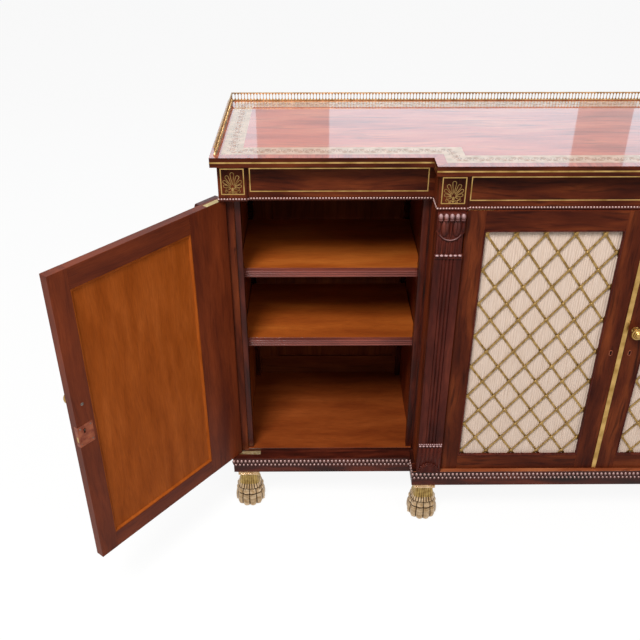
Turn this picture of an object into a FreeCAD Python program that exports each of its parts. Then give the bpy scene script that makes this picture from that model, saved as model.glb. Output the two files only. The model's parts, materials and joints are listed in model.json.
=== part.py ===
import FreeCAD, Part
import math
import os

# Breakfront side cabinet with four doors, in millimetres.
# While it is drawn, X runs right from the middle of the front, Y runs back from the plane of the
# frieze tablets on the wings, and Z runs up from the floor. The left wing door stands open.

Vec = FreeCAD.Vector

# ---- carcase -------------------------------------------------------------------------------
total_height = 900.0
half_width = 836.0
carcase_depth = 357.0
break_half_width = 415.0
break_depth = 48.0
side_thickness = 26.0
partition_thickness = 16.0
partition_lining = 4.5
back_thickness = 18.0
back_panel_thickness = 9.0
back_rail = 60.0
shelf_board_thickness = 16.0
floor_lip = 6.5

# ---- top and gallery -----------------------------------------------------------------------
top_thickness = 19.0
top_side_overhang = 10.0
top_front_overhang = 26.0
top_back_overhang = 10.0
edge_line_height = 3.0
inlay_depth = 1.0
gallery_inset = 10.0
gallery_front_gap = 12.0
gallery_height = 18.6
gallery_rail = 2.4
gallery_spindle = 1.8
gallery_pitch = 14.2

# ---- frieze --------------------------------------------------------------------------------
frieze_height = 78.0
tablet_width = 57.0
tablet_proud = 4.5
bead_radius = 3.2
bead_rise = 4.0
bead_flat = 1.3
line_width = 2.0
tablet_frame_width = 46.0
tablet_frame_height = 53.5
tablet_frame_rise = 13.5
panel_frame_height = 48.5
panel_frame_rise = 18.0
panel_frame_margin = 4.0
panel_frame_break_margin = 12.0

# ---- plinth and feet -----------------------------------------------------------------------
plinth_height = 42.0
plinth_proud = 8.0
foot_height = 109.0
bead_row_height = 9.9
bead_row_flat = 4.0
bead_row_proud = 3.0
upper_bead_row_drop = 10.3
bead_row_spacing = 11.0
paw_radius = 37.5
paw_inset = 33.0
paw_toe_width = 18.0
paw_toe_height = 56.0
paw_toe_turns = (-57.0, -19.0, 19.0, 57.0)
paw_heel_width = 54.0
paw_heel_height = 24.0
paw_heel_bulge = 4.0
paw_neck_width = 43.0
paw_neck_height = 36.0
paw_corner = 0.3
paw_cap_width = 50.0
paw_cap_height = 9.0
paw_cap_cove = 4.0
rear_foot_width = 46.0
rear_foot_taper = 8.0

# ---- doors ---------------------------------------------------------------------------------
door_thickness = 19.0
door_setback = 1.5
door_gap = 1.5
door_stop_gap = 1.5
wing_end_inset = 2.2
wing_hanging_stile = 100.4
centre_end_gap = 1.2
hanging_stile = 38.5
free_stile = 39.5
bottom_rail = 39.0
top_rail = 41.0
wing_pivot_inset = 4.5
centre_pivot_inset = 6.0
centre_edge_round = 4.0
wing_open_angle = 128.7
wing_stop_angle = 132.0
end_bevel_clearance = 1.0
strip_width = 10.5
strip_proud = 2.0
meeting_gap = 0.5

# ---- grille, silk and backing of each door --------------------------------------------------
lip_width = 3.5
lip_depth = 4.7
lip_proud = 1.6
trellis_bar = 3.6
trellis_bar_depth = 1.5
trellis_columns = 9
trellis_rows = 14
trellis_side_margin = 3.2
trellis_end_margin = 7.5
soft_gap = 0.3
silk_thickness = 2.0
backing_thickness = 4.5
backing_bead_width = 6.0
backing_bead_depth = 3.5

# ---- pivot hinges, locks, bolts and knobs ----------------------------------------------------
plate_length = 53.0
plate_width = 12.5
plate_thickness = 2.5
plate_inset = 0.5
pin_radius = 2.2
pin_recess_clearance = 0.7
running_clearance = 0.05
pin_reach = 2.0
pin_end_clearance = 1.5
lock_width = 34.0
lock_height = 46.0
lock_depth = 9.5
lock_base_z = 442.0
key_z = 474.5
key_inset = 14.5
key_slot_width = 3.4
key_slot_height = 9.0
escutcheon_width = 8.0
escutcheon_height = 14.0
escutcheon_thickness = 1.5
escutcheon_corner = 2.5
bolt_height = 12.0
bolt_thickness = 5.0
bolt_length = 24.0
bolt_travel = 8.0
bolt_clearance = 0.3
bolt_rise = 10.0
knob_z = 532.5
knob_inset = 20.0
knob_radius = 14.0
knob_projection = 26.0
knob_neck_radius = 4.6
knob_face_radius = 9.5
flush_bolt_width = 7.0
flush_bolt_length = 55.0
flush_bolt_inset = 13.0
flush_bolt_depth = 6.0
flush_bolt_travel = 10.0
flush_bolt_clearance = 0.3

# ---- pilasters -----------------------------------------------------------------------------
pilaster_width = 55.0
pilaster_shaft_proud = 9.5
pilaster_end_inset = 0.8
reed_count = 3
reed_pitch = 7.6
reed_radius = 3.4
collar_height = 9.0
collar_proud = 11.5
upper_collar_drop = 93.0
lower_collar_rise = 80.0
capital_proud = 14.0
capital_height = 58.0
capital_shoulder = 40.0
capital_neck_inset = 2.5
base_proud = 13.5
base_round_radius = 21.0

# ---- shelves -------------------------------------------------------------------------------
rack_setback = 5.0
rack_width = 23.0
rack_thickness = 12.0
tooth_depth = 8.0
tooth_pitch = 17.6
tooth_count = 29
first_ledge_z = 239.0
lower_shelf_tooth_count = 10
upper_shelf_tooth_count = 20
bearer_height = 14.0
bearer_side_gap = 0.3
shelf_thickness = 22.0
shelf_front_gap = 5.8
shelf_side_gap = 2.0
shelf_reeds = 3
shelf_reed_radius = 2.6
shelf_reed_proud = 1.4

# ---- levels and planes worked out from the sizes above ----------------------------------------
top_underside = total_height - top_thickness
frieze_bottom = top_underside - frieze_height
plinth_top = foot_height + plinth_height
door_bottom = plinth_top + door_gap
door_top = frieze_bottom - door_gap
stop_plane = door_setback + door_thickness + door_stop_gap
floor_top = plinth_top + floor_lip
upper_collar_z = frieze_bottom - upper_collar_drop
lower_collar_z = plinth_top + lower_collar_rise
ceiling_bottom = frieze_bottom - floor_lip - door_gap + door_stop_gap
case_back = carcase_depth - back_thickness
wing_inner_side = -half_width + side_thickness
wing_inner_partition = -break_half_width - partition_lining
partition_inner = -break_half_width + partition_thickness
post_inner = -break_half_width + pilaster_width
wing_hanging_end = -half_width + wing_end_inset
wing_free_end = -break_half_width - door_gap
centre_hanging_end = post_inner + centre_end_gap
strip_left = -strip_width / 2.0
wing_pivot = Vec(wing_hanging_end + wing_pivot_inset,
                 door_setback + door_thickness - wing_pivot_inset, 0.0)
centre_pivot = Vec(centre_hanging_end + centre_pivot_inset,
                   door_setback - break_depth + centre_pivot_inset, 0.0)

nodes = {}


# ---- drawing helpers ---------------------------------------------------------------------
def box(x0, x1, y0, y1, z0, z1):
    """Block between two corners."""
    return Part.makeBox(x1 - x0, y1 - y0, z1 - z0, Vec(x0, y0, z0))


def upright(points, z0, z1):
    """Solid that stands on a flat outline given in X and Y."""
    wire = Part.makePolygon([Vec(x, y, z0) for x, y in points + points[:1]])
    return Part.Face(wire).extrude(Vec(0, 0, z1 - z0))


def along_x(points, x0, x1):
    """Bar with a straight-sided section given in Y and Z."""
    wire = Part.makePolygon([Vec(x0, y, z) for y, z in points + points[:1]])
    return Part.Face(wire).extrude(Vec(x1 - x0, 0, 0))


def cylinder(radius, length, start, direction):
    """Round bar."""
    return Part.makeCylinder(radius, length, start, direction)


def mirrored(shape):
    """The same shape on the other half of the cabinet."""
    return shape.mirror(Vec(0, 0, 0), Vec(1, 0, 0))


def both(shapes):
    """Shapes of the left half with their copies on the right half."""
    return shapes + [mirrored(shape) for shape in shapes]


def filleted(shape, radius, wanted):
    """Shape with the edges that the test picks rounded."""
    return shape.makeFillet(radius, [edge for edge in shape.Edges if wanted(edge)])


def upright_edge_at(x, y):
    """Test for the vertical edge at a place in plan."""
    def wanted(edge):
        box_of_edge = edge.BoundBox
        is_vertical = box_of_edge.ZLength > 1.0
        beside = abs(box_of_edge.Center.x - x) + abs(box_of_edge.Center.y - y) < 0.01
        return is_vertical and beside
    return wanted


def swept(path_points, section, closed=False):
    """Section carried along a path with mitred corners."""
    points = path_points + path_points[:1] if closed else path_points
    path = Part.makePolygon(points)
    return path.makePipeShell([section], True, False, 1)


def faceted(rings):
    """Solid with flat facets between rings of points, which have their sides parallel."""
    faces = [Part.Face(Part.makePolygon(ring + ring[:1])) for ring in (rings[0], rings[-1])]
    for low, high in zip(rings[:-1], rings[1:]):
        for here in range(len(low)):
            after = (here + 1) % len(low)
            corners = [low[here], low[after], high[after], high[here]]
            faces.append(Part.Face(Part.makePolygon(corners + corners[:1])))
    solid = Part.makeSolid(Part.makeShell(faces))
    if solid.Volume < 0.0:
        solid.reverse()
    return solid


def square_ring(x, y, half, z):
    """Corners of an upright square at one height."""
    return [Vec(x - half, y - half, z), Vec(x + half, y - half, z),
            Vec(x + half, y + half, z), Vec(x - half, y + half, z)]


def chamfered_strip(path_points, height, flat, proud):
    """Strip that runs along the outside of a path, with its upper and lower corners taken off."""
    start = path_points[0]
    section = Part.makePolygon([
        start - Vec(0, 0, height / 2.0), start + Vec(-proud, 0, -flat / 2.0),
        start + Vec(-proud, 0, flat / 2.0), start + Vec(0, 0, height / 2.0), start - Vec(0, 0, height / 2.0),
    ])
    return swept(path_points, section)


def put(node, shapes):
    """Keep the solids of one node."""
    nodes[node] = shapes


# ---- top board, gallery --------------------------------------------------------------------
def slab_outline(inset, back_y):
    """Breakfront outline of the top, moved in from its front and ends."""
    side = half_width + top_side_overhang - inset
    shoulder = break_half_width + top_side_overhang - inset
    wing_y = -top_front_overhang + inset
    centre_y = wing_y - break_depth
    left = [(-side, back_y), (-side, wing_y), (-shoulder, wing_y), (-shoulder, centre_y)]
    return left + [(-x, y) for x, y in reversed(left)]


def make_top():
    """Top board and the brass line let into its edge."""
    back_y = carcase_depth + top_back_overhang
    line_z = top_underside + (top_thickness - edge_line_height) / 2.0
    line = upright(slab_outline(0.0, back_y), line_z, line_z + edge_line_height)
    line = line.cut(upright(slab_outline(inlay_depth, back_y), line_z, line_z + edge_line_height))
    slab = upright(slab_outline(0.0, back_y), top_underside, total_height)
    put("top_board", [slab.cut(line)])
    return line


def make_gallery():
    """Brass gallery: base strip and top rail on three sides, with spindles between."""
    side_x = half_width + top_side_overhang - gallery_inset
    back_y = carcase_depth + top_back_overhang - gallery_inset
    front_y = -top_front_overhang + gallery_front_gap
    half = gallery_rail / 2.0
    rails = []
    for z in (total_height, total_height + gallery_height - gallery_rail):
        side_rail = box(-side_x - half, -side_x + half, front_y, back_y + half, z, z + gallery_rail)
        rails += both([side_rail])
        rails.append(box(-side_x + half, side_x - half, back_y - half, back_y + half, z, z + gallery_rail))
    put("gallery_rails", rails)

    low = total_height + gallery_rail
    high = total_height + gallery_height - gallery_rail
    thin = gallery_spindle / 2.0
    spindles = []
    side_run = back_y - front_y - gallery_pitch
    side_steps = int(side_run // gallery_pitch)
    for step in range(side_steps + 1):
        y = back_y - gallery_pitch - step * gallery_pitch
        spindles += both([box(-side_x - thin, -side_x + thin, y - thin, y + thin, low, high)])
    back_steps = int(2.0 * side_x // gallery_pitch)
    pitch = 2.0 * side_x / back_steps
    for step in range(back_steps + 1):
        x = -side_x + step * pitch
        spindles.append(box(x - thin, x + thin, back_y - thin, back_y + thin, low, high))
    put("gallery_spindles", spindles)


# ---- frieze ---------------------------------------------------------------------------------
def line_frame(x0, x1, z0, z1, front_y):
    """Brass line in the shape of an oblong, flush with a front face."""
    outer = box(x0, x1, front_y, front_y + inlay_depth, z0, z1)
    inner = box(x0 + line_width, x1 - line_width, front_y, front_y + inlay_depth,
                z0 + line_width, z1 - line_width)
    return outer.cut(inner)


def make_frieze(edge_line):
    """Frieze boards, corner tablets, brass lines and the bead row below."""
    wing_x = -half_width
    break_x = -break_half_width
    wing_y = tablet_proud
    centre_y = tablet_proud - break_depth
    centre_back = stop_plane - break_depth
    tablet_margin = (tablet_width - tablet_frame_width) / 2.0
    tablet_z = frieze_bottom + tablet_frame_rise
    panel_z = frieze_bottom + panel_frame_rise

    tablets = []
    lines = []
    for x, y in ((wing_x, 0.0), (break_x, -break_depth)):
        tablets.append(box(x, x + tablet_width, y, y + tablet_proud, frieze_bottom, top_underside))
        lines.append(line_frame(x + tablet_margin, x + tablet_margin + tablet_frame_width,
                                tablet_z, tablet_z + tablet_frame_height, y))
    lines.append(line_frame(wing_x + tablet_width + panel_frame_margin,
                            break_x - panel_frame_break_margin,
                            panel_z, panel_z + panel_frame_height, wing_y))
    lines = both(lines)
    centre_frame_x = break_x + tablet_width + panel_frame_margin
    lines.append(line_frame(centre_frame_x, -centre_frame_x, panel_z, panel_z + panel_frame_height, centre_y))

    wing_board = box(wing_x, break_x, wing_y, stop_plane, frieze_bottom, top_underside)
    centre_board = box(break_x, -break_x, centre_y, centre_back, frieze_bottom, top_underside)
    boards = both([wing_board]) + [centre_board]
    for cutter in lines + hinge_sockets() + [flush_bolt_socket(True)]:
        boards = [board.cut(cutter) if board.distToShape(cutter)[0] < 0.01 else board for board in boards]
        tablets = [board.cut(cutter) if board.distToShape(cutter)[0] < 0.01 else board for board in tablets]
    for cutter in lines:
        tablets = [board.cut(cutter) if board.common(cutter).Volume > 0.01 else board for board in tablets]
    put("frieze_boards", boards)
    put("frieze_tablets", both(tablets))
    put("brass_stringing", [edge_line] + lines)

    z = frieze_bottom + bead_rise
    left = [(wing_x, case_back + back_thickness), (wing_x, 0.0), (wing_x + tablet_width, 0.0),
            (wing_x + tablet_width, wing_y), (break_x, wing_y), (break_x, -break_depth),
            (break_x + tablet_width, -break_depth), (break_x + tablet_width, centre_y)]
    path = [Vec(x, y, z) for x, y in left + [(-x, y) for x, y in reversed(left)]]
    put("frieze_bead", [chamfered_strip(path, 2.0 * bead_radius, 2.0 * bead_flat, bead_radius)])


# ---- plinth and feet ------------------------------------------------------------------------
def make_plinth():
    """Plinth boards, with the two bead rows on the front and ends."""
    outer = half_width + plinth_proud
    shoulder = break_half_width + plinth_proud
    centre_front = -plinth_proud - break_depth
    centre_back = stop_plane - break_depth
    low = foot_height
    left = [
        box(-outer, -shoulder, -plinth_proud, stop_plane, low, plinth_top),
        box(-outer, wing_inner_side, stop_plane, carcase_depth, low, plinth_top),
        box(-shoulder, partition_inner, centre_back, stop_plane, low, plinth_top),
        box(wing_inner_partition, partition_inner, stop_plane, case_back, low, plinth_top),
    ]
    boards = both(left)
    boards.append(box(-shoulder, shoulder, centre_front, centre_back, low, plinth_top))
    boards.append(box(wing_inner_side, -wing_inner_side, case_back, carcase_depth, low, plinth_top))
    for cutter in hinge_sockets() + [flush_bolt_socket(False)]:
        boards = [board.cut(cutter) if board.common(cutter).Volume > 0.01 else board for board in boards]
    put("plinth_boards", boards)

    outline = [(-outer, carcase_depth), (-outer, -plinth_proud), (-shoulder, -plinth_proud),
               (-shoulder, centre_front)]
    outline = outline + [(-x, y) for x, y in reversed(outline)]
    rows = []
    for row in range(2):
        z = plinth_top - upper_bead_row_drop - row * bead_row_spacing
        path = [Vec(x, y, z) for x, y in outline]
        rows.append(chamfered_strip(path, bead_row_height, bead_row_flat, bead_row_proud))
    put("plinth_bead_rows", rows)


def paw_ring(width, z):
    """Square with its corners taken off, at one height of a paw."""
    half = width / 2.0
    inner = half * (1.0 - 2.0 * paw_corner)
    corners = [(-half, -inner), (-inner, -half), (inner, -half), (half, -inner),
               (half, inner), (inner, half), (-inner, half), (-half, inner)]
    return [Vec(x, y, z) for x, y in corners]


def paw_toe(turn):
    """One toe: claw, pad and knuckle in profile, with its upper edges taken off."""
    shares = ((0.2, 0.0), (0.86, 0.0), (0.97, 0.14), (1.0, 0.3), (0.95, 0.48), (0.86, 0.56),
              (0.89, 0.66), (0.84, 0.8), (0.7, 0.92), (0.52, 1.0), (0.2, 1.0))
    points = [Vec(0, -paw_radius * out, paw_toe_height * up) for out, up in shares]
    profile = Part.Face(Part.makePolygon(points + points[:1]))
    half = paw_toe_width / 2.0
    toe = profile.extrude(Vec(half, 0, 0)).fuse(profile.extrude(Vec(-half, 0, 0))).removeSplitter()
    crown = half * 0.45
    waist = half * 0.8
    front = [Vec(-waist, 0, 0), Vec(-half, 0, 0.25 * paw_toe_height), Vec(-half, 0, 0.6 * paw_toe_height),
             Vec(-crown, 0, paw_toe_height), Vec(crown, 0, paw_toe_height),
             Vec(half, 0, 0.6 * paw_toe_height), Vec(half, 0, 0.25 * paw_toe_height), Vec(waist, 0, 0)]
    outline = Part.Face(Part.makePolygon(front + front[:1]))
    toe = toe.common(outline.extrude(Vec(0, -paw_radius, 0)))
    toe.rotate(Vec(0, 0, 0), Vec(0, 0, 1), turn)
    return toe


def make_paw(centre_x, centre_y):
    """Cast lion's paw: heel, ankle and neck in one taper, four toes to the front, square cap."""
    cap_low = foot_height - paw_cap_height
    cove_low = cap_low - paw_cap_cove
    ankle = cove_low - paw_neck_height
    shin = (paw_heel_height + ankle) / 2.0 + paw_heel_bulge
    rings = [paw_ring(paw_heel_width * 0.85, 0.0), paw_ring(paw_heel_width, paw_heel_height),
             paw_ring((paw_heel_width + paw_neck_width) / 2.0, shin),
             paw_ring(paw_neck_width, ankle), paw_ring(paw_neck_width, cove_low),
             paw_ring(paw_cap_width, cap_low)]
    casting = faceted(rings)
    for turn in paw_toe_turns:
        casting = casting.fuse(paw_toe(turn))
    half_cap = paw_cap_width / 2.0
    cap = box(-half_cap, half_cap, -half_cap, half_cap, cap_low, foot_height)
    casting = casting.fuse(cap).removeSplitter()
    casting.translate(Vec(centre_x, centre_y, 0))
    return casting


def make_feet():
    """Four paws under the front corners, and plain tapered blocks at the back."""
    wing_x = -half_width - plinth_proud + paw_inset
    centre_x = -break_half_width - plinth_proud + paw_inset
    wing_y = -plinth_proud + paw_inset
    put("paw_feet", both([make_paw(wing_x, wing_y), make_paw(centre_x, wing_y - break_depth)]))

    rear = []
    half_top = rear_foot_width / 2.0
    half_low = half_top - rear_foot_taper
    rear_y = carcase_depth - half_top
    for x in (-half_width + half_top, centre_x):
        rear.append(faceted([square_ring(x, rear_y, half_low, 0.0),
                             square_ring(x, rear_y, half_top, foot_height)]))
    put("rear_feet", both(rear))


# ---- carcase --------------------------------------------------------------------------------
def end_bevel():
    """Corner taken off the front of the left end board, parallel to the fully open door's end."""
    across = -math.cos(math.radians(wing_stop_angle))
    along = math.sin(math.radians(wing_stop_angle))
    reach = wing_pivot_inset + end_bevel_clearance
    front_x = wing_pivot.x + (reach - along * (stop_plane - wing_pivot.y)) / across
    side_y = wing_pivot.y + (reach + across * (wing_pivot.x + half_width)) / along
    corner = [(-half_width, stop_plane), (front_x, stop_plane), (-half_width, side_y)]
    return upright(corner, plinth_top, frieze_bottom)


def make_carcase():
    """End boards, partitions, posts, floors, ceilings and the framed back."""
    ends = box(-half_width, wing_inner_side, stop_plane, carcase_depth, plinth_top, top_underside)
    put("end_boards", both([ends.cut(end_bevel())]))

    centre_stop = stop_plane - break_depth
    outline = [(-break_half_width, centre_stop), (-break_half_width, stop_plane),
               (wing_inner_partition, stop_plane), (wing_inner_partition, case_back),
               (partition_inner, case_back), (partition_inner, centre_stop)]
    partition = upright(outline, plinth_top, top_underside)
    mortise = bolt_space(wing_free_end, bolt_travel + door_gap + bolt_clearance)
    partition = partition.cut(mortise)
    post = box(-break_half_width, post_inner, door_setback - break_depth, centre_stop,
               plinth_top, frieze_bottom)
    put("partitions", both([partition]))
    put("centre_posts", both([post]))

    floors = []
    for low, high in ((floor_top - shelf_board_thickness, floor_top),
                      (ceiling_bottom, ceiling_bottom + shelf_board_thickness)):
        floors += both([box(wing_inner_side, wing_inner_partition, stop_plane, case_back, low, high)])
        floors.append(box(partition_inner, -partition_inner, centre_stop, case_back, low, high))
    put("floor_and_ceiling_boards", floors)

    low = plinth_top
    high = top_underside
    muntin_x = (wing_inner_partition + partition_inner) / 2.0
    half_muntin = back_rail / 2.0
    frame = [
        box(wing_inner_side, -wing_inner_side, case_back, carcase_depth, low, low + back_rail),
        box(wing_inner_side, -wing_inner_side, case_back, carcase_depth, high - back_rail, high),
    ]
    frame += both([
        box(wing_inner_side, wing_inner_side + back_rail, case_back, carcase_depth,
            low + back_rail, high - back_rail),
        box(muntin_x - half_muntin, muntin_x + half_muntin, case_back, carcase_depth,
            low + back_rail, high - back_rail),
    ])
    panel_y = case_back + (back_thickness - back_panel_thickness) / 2.0
    panels = both([box(wing_inner_side + back_rail, muntin_x - half_muntin, panel_y,
                       panel_y + back_panel_thickness, low + back_rail, high - back_rail)])
    panels.append(box(muntin_x + half_muntin, -muntin_x - half_muntin, panel_y,
                      panel_y + back_panel_thickness, low + back_rail, high - back_rail))
    put("back_frame", frame)
    put("back_panels", panels)


# ---- shelves and their racks -----------------------------------------------------------------
def ledge_z(tooth):
    """Height of one tooth's ledge."""
    return first_ledge_z + tooth * tooth_pitch


def rack(x0, x1, root_y, direction):
    """Toothed strip: direction is +1 for teeth that point back, -1 for teeth that point forward."""
    back_edge = root_y - direction * (rack_width - tooth_depth)
    outline = [(back_edge, floor_top), (root_y, floor_top)]
    for tooth in range(tooth_count):
        outline.append((root_y, ledge_z(tooth)))
        outline.append((root_y + direction * tooth_depth, ledge_z(tooth + 1)))
    outline.append((root_y, ledge_z(tooth_count)))
    outline.append((root_y, ceiling_bottom))
    outline.append((back_edge, ceiling_bottom))
    return along_x(outline, x0, x1)


def bearer(x0, x1, front_root, back_root, tooth):
    """Strip whose ends are cut to the slope of the teeth."""
    low = ledge_z(tooth)
    slope = tooth_depth * bearer_height / tooth_pitch
    front = front_root + bearer_side_gap
    back = back_root - bearer_side_gap
    outline = [(front, low), (back, low), (back - slope, low + bearer_height),
               (front + slope, low + bearer_height)]
    return along_x(outline, x0, x1)


def shelf(x0, x1, front_y, back_y, tooth):
    """Shelf board with reeds worked along its front edge."""
    low = ledge_z(tooth) + bearer_height
    high = low + shelf_thickness
    edges = []
    points = [Vec(x0, front_y, low), Vec(x0, back_y, low), Vec(x0, back_y, high),
              Vec(x0, front_y, high)]
    for first, last in zip(points[:-1], points[1:]):
        edges.append(Part.LineSegment(first, last).toShape())
    nose_z = high - (shelf_thickness - shelf_reeds * 2.0 * shelf_reed_radius)
    edges.append(Part.LineSegment(points[-1], Vec(x0, front_y, nose_z)).toShape())
    z = nose_z
    for reed in range(shelf_reeds):
        start = Vec(x0, front_y, z)
        crown = Vec(x0, front_y - shelf_reed_proud, z - shelf_reed_radius)
        z = z - 2.0 * shelf_reed_radius
        end = Vec(x0, front_y, z if reed < shelf_reeds - 1 else low)
        edges.append(Part.Arc(start, crown, end).toShape())
    return Part.Face(Part.Wire(edges)).extrude(Vec(x1 - x0, 0, 0))


def make_shelves():
    """Racks in every corner, bearers in their teeth and two shelves in each compartment."""
    bays = {
        "left": (wing_inner_side, wing_inner_partition, stop_plane),
        "centre": (partition_inner, -partition_inner, stop_plane - break_depth),
        "right": (-wing_inner_partition, -wing_inner_side, stop_plane),
    }
    fittings = []
    for bay, (x0, x1, stop_y) in bays.items():
        front_root = stop_y + rack_setback + rack_width - tooth_depth
        back_root = case_back - rack_width + tooth_depth
        front_tip = front_root + tooth_depth
        back_tip = back_root - tooth_depth
        for side_0, side_1 in ((x0, x0 + rack_thickness), (x1 - rack_thickness, x1)):
            fittings.append(rack(side_0, side_1, front_root, 1))
            fittings.append(rack(side_0, side_1, back_root, -1))
            for tooth in (lower_shelf_tooth_count, upper_shelf_tooth_count):
                fittings.append(bearer(side_0, side_1, front_root, back_root, tooth))
        for level, tooth in (("lower", lower_shelf_tooth_count), ("upper", upper_shelf_tooth_count)):
            board = shelf(x0 + shelf_side_gap, x1 - shelf_side_gap, front_tip + shelf_front_gap,
                          back_tip - shelf_front_gap, tooth)
            put("shelf_" + bay + "_" + level, [board])
    put("shelf_racks_and_bearers", fittings)


# ---- pivot hinges ----------------------------------------------------------------------------
def hinge_plate(wing, z0):
    """Brass plate: the wing's keeps inside the door's rounded corner, the centre's under the frieze."""
    if wing:
        x0 = wing_hanging_end + plate_inset
        y1 = door_setback + door_thickness - plate_inset
        corner = wing_pivot_inset - plate_inset
        outline = [(x0, y1 - plate_width), (x0 + plate_length, y1 - plate_width), (x0 + plate_length, y1),
                   (x0 + corner, y1), (x0, y1 - corner)]
        return upright(outline, z0, z0 + plate_thickness)
    x0 = centre_hanging_end + plate_inset
    y0 = tablet_proud - break_depth
    return box(x0, x0 + plate_length, y0, y0 + plate_width, z0, z0 + plate_thickness)


def fixed_hinge(wing, top):
    """Plate let into the plinth or the frieze, with its pin."""
    pivot = wing_pivot if wing else centre_pivot
    length = door_gap + plate_thickness + pin_reach
    if top:
        plate = hinge_plate(wing, frieze_bottom)
        pin = cylinder(pin_radius, length, pivot + Vec(0, 0, frieze_bottom - length), Vec(0, 0, 1))
        return plate.fuse(pin)
    plate = hinge_plate(wing, plinth_top - plate_thickness)
    pin = cylinder(pin_radius, length, pivot + Vec(0, 0, plinth_top), Vec(0, 0, 1))
    return plate.fuse(pin)


def hinge_sockets():
    """Spaces in the plinth and the frieze that the fixed plates fill."""
    sockets = []
    for wing in (True, False):
        for z0 in (plinth_top - plate_thickness, frieze_bottom):
            sockets.append(hinge_plate(wing, z0))
    return both(sockets)


def door_plates(wing):
    """The two plates on a door, bored for the pins."""
    pivot = wing_pivot if wing else centre_pivot
    bore = cylinder(pin_radius + running_clearance, total_height, pivot, Vec(0, 0, 1))
    return [hinge_plate(wing, z0).cut(bore) for z0 in (door_bottom, door_top - plate_thickness)]


def make_fixed_hinges():
    """All eight fixed plates and pins."""
    fixed = [fixed_hinge(wing, top) for wing in (True, False) for top in (True, False)]
    put("fixed_hinge_plates", both(fixed))


# ---- bolts and locks --------------------------------------------------------------------------
def bolt_block(free_end, grow, forward):
    """Lock bolt of a left-hung door, or with some clearance the space that it slides in."""
    back = door_setback + door_thickness
    y1 = back - (lock_depth - bolt_thickness) / 2.0
    z0 = lock_base_z + bolt_rise
    return box(free_end - bolt_clearance - bolt_length - grow, free_end - bolt_clearance + forward,
               y1 - bolt_thickness - grow, y1 + grow, z0 - grow, z0 + bolt_height + grow)


def bolt_space(free_end, forward):
    """Space ahead of a wing door's bolt, cut into what the bolt shoots into."""
    return bolt_block(free_end, bolt_clearance, forward)


def keyhole(x, y0, y1):
    """Key slot as a solid along Y."""
    half_slot = key_slot_width / 2.0
    rise = key_slot_height / 2.0
    return box(x - half_slot, x + half_slot, y0, y1, key_z - rise, key_z + rise)


def escutcheon(x, front_y):
    """Keyhole lining with its corners taken off, flush with the front of the stile."""
    half = escutcheon_width / 2.0
    inner = half - escutcheon_corner
    rise = escutcheon_height / 2.0
    shoulder = rise - escutcheon_corner
    outline = [(-half, -shoulder), (-inner, -rise), (inner, -rise), (half, -shoulder),
               (half, shoulder), (inner, rise), (-inner, rise), (-half, shoulder)]
    points = [Vec(x + a, front_y, key_z + b) for a, b in outline]
    return Part.Face(Part.makePolygon(points + points[:1])).extrude(Vec(0, escutcheon_thickness, 0))


def lock_case(free_end, front_y):
    """Cut-in lock on the inner face of the free stile."""
    back = front_y + door_thickness
    return box(free_end - lock_width, free_end, back - lock_depth, back,
               lock_base_z, lock_base_z + lock_height)


def knob(x, front_y):
    """Turned knob: a narrow neck and a dished head that tapers to its face."""
    out = knob_projection
    profile = [(0.0, 0.0), (knob_neck_radius, 0.0), (knob_neck_radius, out * 0.42), (knob_radius, out * 0.62),
               (knob_face_radius, out), (0.0, out)]
    wire = Part.makePolygon([Vec(x + a, front_y - b, knob_z) for a, b in profile + profile[:1]])
    return Part.Face(wire).revolve(Vec(x, front_y, knob_z), Vec(0, 1, 0), 360)


def flush_bolt(top, grow, travel):
    """Square bolt near the free edge of the left centre door, clear of its floor or frieze."""
    x = strip_left - meeting_gap / 2.0 - flush_bolt_inset
    y = door_setback - break_depth + door_thickness - flush_bolt_depth
    half = flush_bolt_width / 2.0 + grow
    if top:
        high = door_top - flush_bolt_clearance + travel
        low = high - travel - flush_bolt_length - grow
    else:
        low = door_bottom + flush_bolt_clearance - travel
        high = low + travel + flush_bolt_length + grow
    return box(x - half, x + half, y - half, y + half, low, high)


def flush_bolt_socket(top):
    """Hole in the plinth or the frieze that a flush bolt enters."""
    return flush_bolt(top, flush_bolt_clearance, flush_bolt_travel + flush_bolt_clearance)


# ---- pilasters ---------------------------------------------------------------------------------
def pilaster_capital(x0, x1, front_y, face_y, top):
    """Console cut to a shield with a round tongue, over a narrower neck."""
    low = top - capital_height
    crown_y = front_y - capital_proud
    rim = top - 12.0
    tip = Vec(x0, face_y - 1.0, low)
    nose = [Vec(x0, crown_y + 3.0, top), Vec(x0, crown_y, rim + 6.0), Vec(x0, crown_y + 2.0, rim)]
    console = Part.Wire([
        Part.LineSegment(Vec(x0, front_y, top), nose[0]).toShape(),
        Part.Arc(*nose).toShape(),
        Part.LineSegment(nose[2], tip).toShape(),
        Part.LineSegment(tip, Vec(x0, front_y, low)).toShape(),
        Part.LineSegment(Vec(x0, front_y, low), Vec(x0, front_y, top)).toShape(),
    ])
    middle = (x0 + x1) / 2.0
    shoulder = top - capital_shoulder
    shield = Part.Wire([
        Part.LineSegment(Vec(x0, crown_y, shoulder), Vec(x0, crown_y, top)).toShape(),
        Part.LineSegment(Vec(x0, crown_y, top), Vec(x1, crown_y, top)).toShape(),
        Part.LineSegment(Vec(x1, crown_y, top), Vec(x1, crown_y, shoulder)).toShape(),
        Part.Arc(Vec(x1, crown_y, shoulder), Vec(middle, crown_y, low), Vec(x0, crown_y, shoulder)).toShape(),
    ])
    scroll = Part.Face(console).extrude(Vec(x1 - x0, 0, 0))
    scroll = scroll.common(Part.Face(shield).extrude(Vec(0, capital_proud, 0)))
    neck = box(x0 + capital_neck_inset, x1 - capital_neck_inset, face_y, front_y,
               upper_collar_z + collar_height / 2.0, shoulder)
    return scroll.fuse(neck).removeSplitter()


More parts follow.
